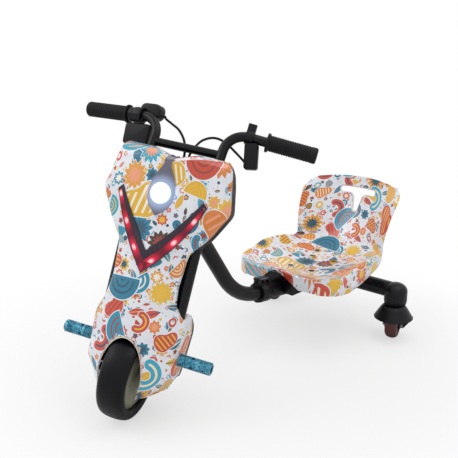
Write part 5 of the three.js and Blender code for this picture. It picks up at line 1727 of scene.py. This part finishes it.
@dataclass
class Fork:
    """The raked fork with its dropouts, crown, tray and foot pegs, and what it carries."""

    kit: Builder
    leg_foot: float = 32
    axle_y: float = 4.4
    axle_half: float = 6.3
    crown_bottom: float = 316
    peg_start: float = 99.3
    peg_length: float = 76.7
    peg_radius: float = 14
    groove_pitch: float = 4.2
    hole_radius: float = 3.5
    hole_inset: float = 42
    hole_turn: float = 28
    cable_radius: float = 2.9

    def build(self) -> None:
        """Builds the fork, the pegs and the cables."""
        kit, layout = self.kit, self.kit.layout
        x, crown_bottom = layout.leg_x, self.crown_bottom
        leg = move(rod("leg", layout.leg_radius, self.leg_foot, layout.leg_top, 48, 1.2), at(x))
        foot = block("foot", (54, -8.1, 14), (x, 16.9, 60), 1.5)
        plate = block("plate", (54, -8.1, -14), (60, 16.9, 60), 1.0)
        boss = move(rod("boss", 11, x, x + 18, 40, 1.0), at(0, *layout.peg_axis) @ ALONG_X)
        cut(plate, block("cutter", (34, self.axle_y - self.axle_half, -34), (60.3, self.axle_y + self.axle_half, 1.1)))
        left = merge("left_side", leg, foot, plate, boss)
        right = twin(left, Side.RIGHT.flip)
        crown = prism("crown", rounded(176, 46, 15), crown_bottom, crown_bottom + 10, 1.2)
        tray = block("tray", (-x, -20, 140), (x, 20, 146), 1.0)
        steerer = rod("steerer", 12.5, crown_bottom, 455, 40, 1.0)
        weldment = merge("fork_weldment", left, right, crown, tray, steerer)
        kit.release(weldment, Body.STEERING, "fork", place=layout.steered)
        for side in Side:
            self.peg(side)
        kit.trim(
            "_part", Body.STEERING, peg_bolt_left=0.4, peg_bolt_right=0.4, motor_axle=0.5, axle_nut_left=0.6,
            axle_nut_right=0.6, battery_pack=0.8, controller=0.6)
        self.cables()

    def peg(self, side: Side) -> None:
        """Builds a turned foot peg with grip grooves and cross holes.

        Args:
            side: its side.
        """
        length, crest, groove = self.peg_length, self.peg_radius, self.peg_radius - 1.6
        profile = [(5.3, 0), (12.6, 0), (crest, 1.4), (crest, 5)]
        for start, count in ((6, 5), (length - 24, 4)):
            for z in [start + self.groove_pitch * k for k in range(count)]:
                profile += [(crest, z), (groove, z + 0.5), (groove, z + 1.9), (crest, z + 2.4)]
        profile += [(crest, length - 2), (groove, length), (9.2, length), (8.5, length - 0.7), (8.5, length - 26),
                    (5.3, length - 26)]
        peg = spun("foot_peg_" + side.word, profile, 56)
        for turn in [math.radians(self.hole_turn + 90 * k) for k in range(4)]:
            way = at(0, 0, length - self.hole_inset) @ Matrix.Rotation(turn, 4, "Z") @ ALONG_X
            cut(peg, move(rod("cutter", self.hole_radius, 9, 20, 24), way))
        place = self.kit.layout.steered @ (side.flip @ at(self.peg_start, *self.kit.layout.peg_axis) @ ALONG_X)
        self.kit.release(peg, Body.STEERING, "peg_" + side.word, place=place, angle=30)

    def cables(self) -> None:
        """Builds the two control cables, from their housings down behind the cover."""
        in_the_open = {
            Side.RIGHT: ("throttle_cable", [
                (-86.5, 66, 572), (-80, 62, 566), (-60, 54, 557), (-36, 45, 545), (-15, 37, 522), (-5, 30, 492)]),
            Side.LEFT: ("switch_cable", [
                (124.5, 50, 509), (117, 54, 514), (96, 60, 527), (74, 60, 540), (54, 55, 546), (37, 48, 543),
                (21, 41, 531), (10, 35, 510), (6, 30, 490)]),
        }
        behind = [(7, 26, 462), (15, 24, 445), (31, 20, 433), (38, 10, 422), (34, -10, 408), (22, -29, 392),
                  (13, -34, 370), (12, -30, 312)]
        for side, (name, points) in in_the_open.items():
            route = [Vector(p) for p in (*points, *[(side.value * x, y, z) for x, y, z in behind])]
            cable = tube(name + "_sheath", smooth_line(route, 8), self.cable_radius, 12)
            self.kit.release(cable, Body.STEERING, name, place=self.kit.layout.steered, angle=60)


@dataclass
class FrontWheel:
    """The tyre on its hub motor.

    The tyre's shares give its section from the bead to the crown: the rise above the bead and the half width.
    """

    kit: Builder
    radius: float = 97
    half_width: float = 31.5
    bead: float = 70
    shares: Profile = (
        (0, 0.62), (0.05, 0.76), (0.12, 0.88), (0.22, 0.965), (0.36, 1), (0.5, 1), (0.63, 0.975), (0.74, 0.92),
        (0.83, 0.835), (0.9, 0.715), (0.95, 0.56), (0.982, 0.37), (0.997, 0.17),
    )
    face: Profile = (
        (6.6, 33), (12, 33), (19.5, 32.6), (20, 32), (22.4, 27), (24, 26.2), (30, 26), (31, 25.2), (38, 25.2),
        (39, 26), (52, 26), (53, 25.4), (58, 25.8), (60.5, 24.6), (66.7, 20.6), (69.7, 20),
    )
    screw_circle: float = 46
    screw_count: int = 5

    def build(self) -> None:
        """Builds the tyre and the motor case with its screws."""
        place, rise = self.kit.layout.wheel, self.radius - self.bead
        side = [(self.bead + rise * up, self.half_width * wide) for up, wide in self.shares]
        tyre = spun("front_tyre_casing", [*side, (self.radius, 0), *mirrored(side)], 128)
        self.kit.release(tyre, Body.FRONT_WHEEL, "front_tyre", place=place, angle=35)
        case = spun("motor_case", [*self.face, *mirrored(self.face)], 96)
        head = [(0, -27.5), (2.9, -27.5), (3.5, -26.9)]
        screws = []
        for turn in [math.tau * k / self.screw_count for k in range(self.screw_count)]:
            spot = at(self.screw_circle * math.cos(turn), self.screw_circle * math.sin(turn))
            screws.append(move(spun("screw", [*head, *mirrored(head)], 20), spot))
        self.kit.release(merge("motor_case", case, *screws), Body.FRONT_WHEEL, "hub_motor", place=place, angle=35)


# Rear half


@dataclass
class TubeFrame:
    """The head tube with its bent tube, and the sleeve with the cross beam that carries the casters."""

    kit: Builder
    head_bore: float = 15
    head_radius: float = 22
    head_ends: tuple[float, float] = (336, 424)
    tube_radius: float = 18.5
    tube_joint: float = 408
    tube_bend: float = 165
    sleeve_radius: float = 23
    sleeve_bore: float = 19
    bore_margin: float = 20
    beam_radius: float = 22
    socket_radius: float = 31
    socket_bore: float = 8.9
    socket_top: float = 154

    def build(self) -> None:
        """Builds both halves of the frame and its clamp."""
        kit, layout = self.kit, self.kit.layout
        end = layout.tail_end_y
        corners = [(0, *layout.tail_corner), (0, end, layout.tail_height(end))]
        line = bent([layout.head @ Vector((0, 0, self.tube_joint)), *[Vector(p) for p in corners]], self.tube_bend, 28)
        low_tube = tube("tube", line, self.tube_radius, 44)
        (foot, top), bore, radius = self.head_ends, self.head_bore, self.head_radius
        head = spun("head", [
            (bore, foot), (radius - 1, foot), (radius, foot + 1), (radius, top - 1), (radius - 1, top), (bore, top),
        ], 56)
        move(head, layout.head)
        cut(low_tube, move(rod("cutter", bore, 300, 450, 48), layout.head))
        kit.release(merge("head_and_tube", low_tube, head), Body.FRONT_FRAME, "main_frame", place=layout.whole)
        self.rear()
        kit.trim(
            "_part", Body.REAR_FRAME, blackened=True, clamp_collar=1.0, clamp_bolt_front=0.5, clamp_bolt_rear=0.5,
            seat_bracket=1.0, caster_bearing_left=0.6, caster_bearing_right=0.6, seat_bolt_1=0.6, seat_bolt_2=0.6,
            seat_bolt_3=0.6, seat_bolt_4=0.6)

    def rear(self) -> None:
        """Builds the sleeve, the beam and the caster sockets."""
        layout, radius = self.kit.layout, self.sleeve_radius
        start, beam_y, x = layout.sleeve_y, layout.beam_y, layout.caster_x
        length = (beam_y - start) / math.cos(layout.tail_slope)
        depth = (layout.tail_end_y - start) / math.cos(layout.tail_slope) + self.bore_margin
        sleeve = spun("sleeve", [
            (self.sleeve_bore, 0), (radius - 0.8, 0), (radius, 0.8), (radius, length), (0, length), (0, depth),
            (self.sleeve_bore, depth)], 56)
        along_tube = Matrix.Rotation(-math.pi / 2 - layout.tail_slope, 4, "X")
        move(sleeve, at(0, start, layout.tail_height(start)) @ along_tube)
        height, wide = layout.tail_height(beam_y), self.socket_radius
        beam = move(rod("beam", self.beam_radius, -x, x, 56), at(0, beam_y, height) @ ALONG_X)
        dome = [(wide * math.sin(t), height + (self.socket_top - height) * math.cos(t)) for t in quarter(14)]
        bore = self.socket_bore
        socket = spun("socket", [*dome, (wide, 102.5), (wide - 1.4, 101), (bore, 101), (bore, 146.6), (0, 146.6)], 56)
        move(socket, at(x, beam_y))
        weldment = merge("sleeve_and_beam", sleeve, beam, socket, twin(socket, at(-2 * x)))
        self.kit.release(weldment, Body.REAR_FRAME, "rear_frame", place=layout.whole)


@dataclass
class BucketSeat:
    """The moulded seat with its rolled lips, arch and hand hole.

    Each row of the table gives, as shares: the back and the height of the middle, the half width, the back and the
    height of the rim, and how far the lip rolls out, back and down.
    """

    kit: Builder
    front: float = 498
    reach: float = 398
    base: float = 163
    height: float = 235
    half: float = 166
    skirt: float = 54
    wall: float = 4
    trough: float = 9
    trough_end: float = 0.45
    lip_steps: int = 6
    skirt_steps: int = 6
    skirt_fall: float = 42
    skirt_setback: float = 17
    arch_half: float = 62
    arch_rise: float = 0.85
    bolt_x: float = 36
    bolts: Profile = ((612, 186.5), (716, 188.5))
    bolt_bore: float = 8.3
    shares: tuple[tuple[float, ...], ...] = (
        (0, 0.23, 0.675, 0.02, 0.183, 0.13, 0.28, 0.8),
        (0.035, 0.217, 0.783, 0.055, 0.187, 0.13, 0.15, 0.81),
        (0.093, 0.17, 0.928, 0.118, 0.187, 0.13, 0.06, 0.81),
        (0.168, 0.123, 0.994, 0.186, 0.196, 0.15, 0, 0.82),
        (0.256, 0.094, 1, 0.271, 0.217, 0.15, 0, 0.87),
        (0.357, 0.081, 1, 0.367, 0.264, 0.15, 0, 0.93),
        (0.482, 0.081, 0.982, 0.482, 0.272, 0.15, 0, 0.78),
        (0.608, 0.102, 0.934, 0.59, 0.264, 0.15, 0, 0.67),
        (0.721, 0.149, 0.873, 0.671, 0.247, 0.15, 0.07, 0.52),
        (0.804, 0.243, 0.843, 0.701, 0.268, 0.15, 0.15, 0.37),
        (0.854, 0.362, 0.849, 0.709, 0.37, 0.11, 0.22, 0.11),
        (0.899, 0.489, 0.88, 0.729, 0.502, 0.09, 0.2, 0.04),
        (0.935, 0.617, 0.904, 0.756, 0.634, 0.09, 0.19, 0.02),
        (0.962, 0.745, 0.928, 0.794, 0.745, 0.09, 0.17, 0),
        (0.982, 0.855, 0.934, 0.824, 0.821, 0.09, 0.15, 0),
        (0.995, 0.949, 0.892, 0.879, 0.898, 0.07, 0.15, 0.02),
        (1, 1, 0.771, 0.924, 0.957, 0.04, 0.15, 0.04),
    )
    hand_hole: Profile = (
        (-51, 365), (-57, 363), (-59, 357), (-57, 351), (-51, 349), (-24, 349), (-14, 340), (-6, 301), (6, 301),
        (14, 340), (24, 349), (51, 349), (57, 351), (59, 357), (57, 363), (51, 365),
    )

    def station(self, spot: float) -> list[float]:
        """The eight lengths of the table at a spot between its rows, on a smooth curve.

        Args:
            spot: the spot, counted in rows.

        Returns:
            The lengths.
        """
        last = len(self.shares) - 1
        k = min(int(spot), last - 1)
        rows = [self.shares[max(0, min(last, i))] for i in (k - 1, k, k + 1, k + 2)]
        scales = (self.reach, self.height, self.half, self.reach, self.height, self.skirt, self.skirt, self.skirt)
        return [scale * eased(*four, spot - k) for *four, scale in zip(*rows, scales)]

    def row(self, spot: float, columns: int) -> list[Vector]:
        """One row of the upper surface, lips included.

        Args:
            spot: its place between the table's rows.
            columns: how many columns lie between the lips.

        Returns:
            The row's points.
        """
        centre_back, centre_up, half, rim_back, rim_up, out, back, down = self.station(spot)
        fading = max(0.0, 1 - spot / (len(self.shares) - 1) / self.trough_end)
        points = []
        for across in [2 * j / columns - 1 for j in range(columns + 1)]:
            share = abs(across) ** 2.1
            points.append(Vector((
                half * across, self.front + centre_back + (rim_back - centre_back) * share,
                self.base + centre_up + (rim_up - centre_up) * share
                - self.trough * math.sin(math.pi * abs(across)) * fading)))

        def lip(point: Vector, side: Side, share: float) -> Vector:
            """A point of the rolled lip."""
            roll = side.value * out * math.sin(math.pi / 2 * share)
            return Vector((point.x + roll, point.y + back * share, point.z - down * share * share))

        steps = [k / self.lip_steps for k in range(1, self.lip_steps + 1)]
        right = [lip(points[0], Side.RIGHT, share) for share in reversed(steps)]
        return [*right, *points, *[lip(points[-1], Side.LEFT, share) for share in steps]]

    def grid(self, per: int = 5, columns: int = 56) -> list[list[Vector]]:
        """The whole upper surface, front skirt first.

        Args:
            per: how many rows it has for each of the table's.
            columns: how many columns it has between the lips.

        Returns:
            The grid of points.
        """
        rows = [self.row(i / per, columns) for i in range((len(self.shares) - 1) * per + 1)]
        skirt = []
        for share in [k / self.skirt_steps for k in range(self.skirt_steps, 0, -1)]:
            line = []
            for point in rows[0]:
                arch = self.arch_rise * max(0.0, 1 - (point.x / self.arch_half) ** 2)
                fall = max(0.0, min(1.0, (point.z - self.base) / self.skirt_fall))
                foot = Vector((point.x, point.y + self.skirt_setback * fall, self.base))
                line.append(point.lerp(foot, share * (1 - arch)))
            skirt.append(line)
        top = [[point + Vector((0, 6 * share, -3 * share * share)) for point in rows[-1]] for share in (0.5, 1)]
        return [*skirt, *rows, *top]

    def build(self) -> None:
        """Builds the seat with its hand hole and the bosses of its bolts."""
        rows, bore = self.grid(), self.bolt_bore
        seat = moulded("bucket_seat", rows, (0, 0, 1), self.wall, developed(rows))
        soften(seat, 1.2, 2, 60)
        cut(seat, move(prism("cutter", self.hand_hole, -950, -690), FORWARDS))
        bosses = []
        for x in (-self.bolt_x, self.bolt_x):
            for y, top in self.bolts:
                cut(seat, move(rod("cutter", bore, 176, 215, 32), at(x, y)))
                boss = spun("boss", [
                    (4.3, 172.3), (11, 172.3), (11, top - 0.5), (10.5, top), (bore, top), (bore, 183), (4.3, 183)], 32)
                mark(boss, "print_place", [(x + v.co.x, y + v.co.y, 0.0) for v in boss.data.vertices])
                bosses.append(move(boss, at(x, y)))
        seat = merge("bucket_seat", seat, *bosses)
        self.kit.release(seat, Body.REAR_FRAME, "seat_shell", place=self.kit.layout.whole, angle=32)


@dataclass
class Caster:
    """A swivel caster with its coned hood.

    The wheel's shares give its tread's section, from the rim to the crown, as parts of its radius and half width.
    """

    kit: Builder
    side: Side
    trail: float = 13
    wheel_radius: float = 38
    half_width: float = 17
    cheek_half: float = 12
    cheek_walls: tuple[float, float] = (17.8, 21)
    gusset_y: float = 5.5
    hood_outside: Profile = (
        (0, 94), (27, 94), (29.6, 93.2), (33, 89.9), (37, 84.4), (41.4, 77.4), (45.6, 70.4), (49.6, 63.8), (52.4, 59.2),
    )
    hood_inside: Profile = (
        (49.6, 59.2), (46.6, 63.4), (42.6, 69.9), (38.4, 76.7), (34.2, 83), (31, 87.3), (28, 89.8), (0, 90.5),
    )
    gusset: Profile = ((-18, 90), (-18, 26), (-27, 26), (-49.6, 56), (-50.6, 62))
    shares: Profile = (
        (0.5, 1), (0.53, 0.95), (0.56, 0.92), (0.68, 0.93), (0.75, 0.95), (0.8, 0.93), (0.85, 0.86), (0.895, 0.76),
        (0.935, 0.62), (0.966, 0.46), (0.987, 0.29), (0.998, 0.12),
    )

    def hood(self) -> Piece:
        """Builds the hood with its stem, cheeks and gusset.

        Returns:
            The piece.
        """
        centre, half = at(0, self.trail), self.cheek_half
        parts = [move(spun("hood", [*self.hood_outside, *self.hood_inside], 64), centre),
                 rod("stem", 8.3, 90.5, 146, 32, 0.8)]
        round_axle = [(half * math.cos(t), self.wheel_radius - half * math.sin(t))
                      for t in [math.pi * k / 16 for k in range(17)]]
        upright = Matrix(((0, 0, 1, 0), (1, 0, 0, 0), (0, 1, 0, 0), (0, 0, 0, 1)))
        for side in Side:
            walls = sorted(side.value * wall for wall in self.cheek_walls)
            cheek = prism("cheek", [(-half, 92), (half, 92), *round_axle], *walls, 0.5)
            parts.append(move(cheek, centre @ upright))
        gusset = prism("gusset", self.gusset, 0, 8, 1.2)
        parts.append(move(gusset, at(0, self.gusset_y) @ FORWARDS))
        return merge("caster_hood_moulding_" + self.side.word, *parts)

    def wheel(self) -> Piece:
        """Builds the wheel, with its axle along Z.

        Returns:
            The piece.
        """
        half = self.half_width
        outline = [(4.6, half), (9, half), (9.6, half - 0.6), (9.6, half - 3), (18.4, half - 3), (18.4, half - 0.5)]
        outline += [(self.wheel_radius * out, half * wide) for out, wide in self.shares]
        return spun("caster_wheel_tread_" + self.side.word, [*outline, *mirrored(outline)], 72)

    def build(self) -> None:
        """Builds the hood, the axle and the wheel."""
        kit, place, word = self.kit, self.kit.layout.caster(self.side), self.side.word
        swivel, spin = Body("caster_" + word), Body("caster_wheel_" + word)
        kit.release(self.hood(), swivel, "caster_hood_" + word, place=place, angle=35)
        node = "caster_axle_" + word
        kit.release(refined("caster_axle_part_" + word, kit.frame["nodes"][node], 0.5), swivel, node)
        axle = place @ at(0, self.trail, self.wheel_radius) @ ALONG_X
        kit.release(self.wheel(), spin, "caster_wheel_" + word, place=axle, angle=35)


# Studio


@dataclass
class Studio:
    """A pale floor, soft light and the photograph's viewpoint.

    The eye is in the side plane's millimetres, and focal and picture are in pixels.
    """

    layout: Layout
    eye: Place = (1097.0, -864.0, 820.0)
    azimuth: float = math.radians(42.763)
    elevation: float = math.radians(15.966)
    focal: float = 704.96
    picture: float = 458.0
    sensor: float = 36.0
    light_level: float = 0.62
    lamp_target: Place = (0, 0, 0.3)
    fade: tuple[float, float] = (0.4, 0.95)

    def camera(self) -> None:
        """Sets the camera where the photograph was taken."""
        a, e = self.azimuth, self.elevation
        right = Vector((math.cos(a), math.sin(a), 0))
        view = Vector((-math.sin(a) * math.cos(e), math.cos(a) * math.cos(e), -math.sin(e)))
        data = bpy.data.cameras.new("photo_camera")
        data.sensor_width = self.sensor
        data.lens = self.focal / self.picture * self.sensor
        camera = put_in_scene("photo_camera", data)
        basis = Matrix((right, right.cross(view), -view)).transposed().to_4x4()
        camera.matrix_world = Matrix.Translation((Vector(self.eye) + self.layout.shift) * MILLIMETRE) @ basis
        bpy.context.scene.camera = camera

    def softbox(self, name: str, place: Place, size: float, power: float) -> None:
        """Adds a soft square lamp that looks at the tricycle.

        Args:
            name: its name.
            place: its place in metres.
            size: its side in metres.
            power: its power in watts.
        """
        data = bpy.data.lights.new(name, "AREA")
        data.size = size
        data.energy = power
        lamp = put_in_scene(name, data)
        lamp.location = place
        lamp.rotation_euler = (Vector(self.lamp_target) - Vector(place)).to_track_quat("-Z", "Y").to_euler()

    def floor(self) -> None:
        """Adds a pale matt floor that fades to white away from the tricycle."""
        bpy.ops.mesh.primitive_plane_add(size=30, location=(0, 0, -0.0004))
        floor = bake_place("studio_floor")
        material = bpy.data.materials.new("pale_floor")
        material.use_nodes = True
        tree = material.node_tree
        tree.nodes.remove(tree.nodes["Principled BSDF"])
        place = put(tree, "TexCoord", socket="Object")
        away = put(tree, "VectorMath:DISTANCE", place, (0.0, 0.0, 0.0), socket="Value")
        fade = put(tree, "MapRange", away, *self.fade, self.light_level, 1.0, interpolation_type="SMOOTHSTEP")
        shown = put(tree, "Math:MULTIPLY", fade, put(tree, "LightPath", socket="Is Camera Ray"))
        matt = put(tree, "BsdfDiffuse", linear("#f8f8f8"))
        white = put(tree, "Emission", linear("#ffffff"), 1.0)
        tree.links.new(put(tree, "MixShader", shown, matt, white), tree.nodes["Material Output"].inputs["Surface"])
        floor.data.materials.append(material)

    def sky(self) -> None:
        """Sets an even surround, which the camera and gloss see as white."""
        world = bpy.data.worlds.new("white_surround")
        bpy.context.scene.world = world
        world.use_nodes = True
        tree = world.node_tree
        rays = put(tree, "LightPath").node.outputs
        seen = put(tree, "Math:MAXIMUM", rays["Is Camera Ray"], rays["Is Glossy Ray"])
        background = tree.nodes["Background"].inputs
        tree.links.new(put(tree, "MapRange", seen, 0.0, 1.0, self.light_level, 1.0), background["Strength"])
        background["Color"].default_value = linear("#ffffff")

    def build(self) -> None:
        """Sets camera, floor, surround and lamps."""
        self.camera()
        self.floor()
        self.sky()
        self.softbox("key_softbox", (-1.6, -1.9, 2.6), 1.8, 26)
        self.softbox("top_softbox", (0.9, 0.4, 2.9), 2.2, 20)


def main() -> None:
    """Builds the tricycle piece by piece."""
    logging.basicConfig(level=logging.INFO, format="%(message)s")
    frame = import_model()
    bpy.context.scene.view_settings.view_transform = "Standard"
    layout = Layout({joint["name"]: joint for joint in frame["joints"]})
    Studio(layout).build()
    lamp = layout.steered @ Vector((0, FrontCover.lamp_tip, layout.lamp_height))
    kit = Builder(frame, layout, Paints(lamp))
    for assembly in (FrontCover, Handlebar, Fork, FrontWheel, TubeFrame, BucketSeat):
        assembly(kit).build()
    for side in Side:
        Caster(kit, side).build()
    bpy.context.view_layer.update()


if __name__ == "__main__":
    main()
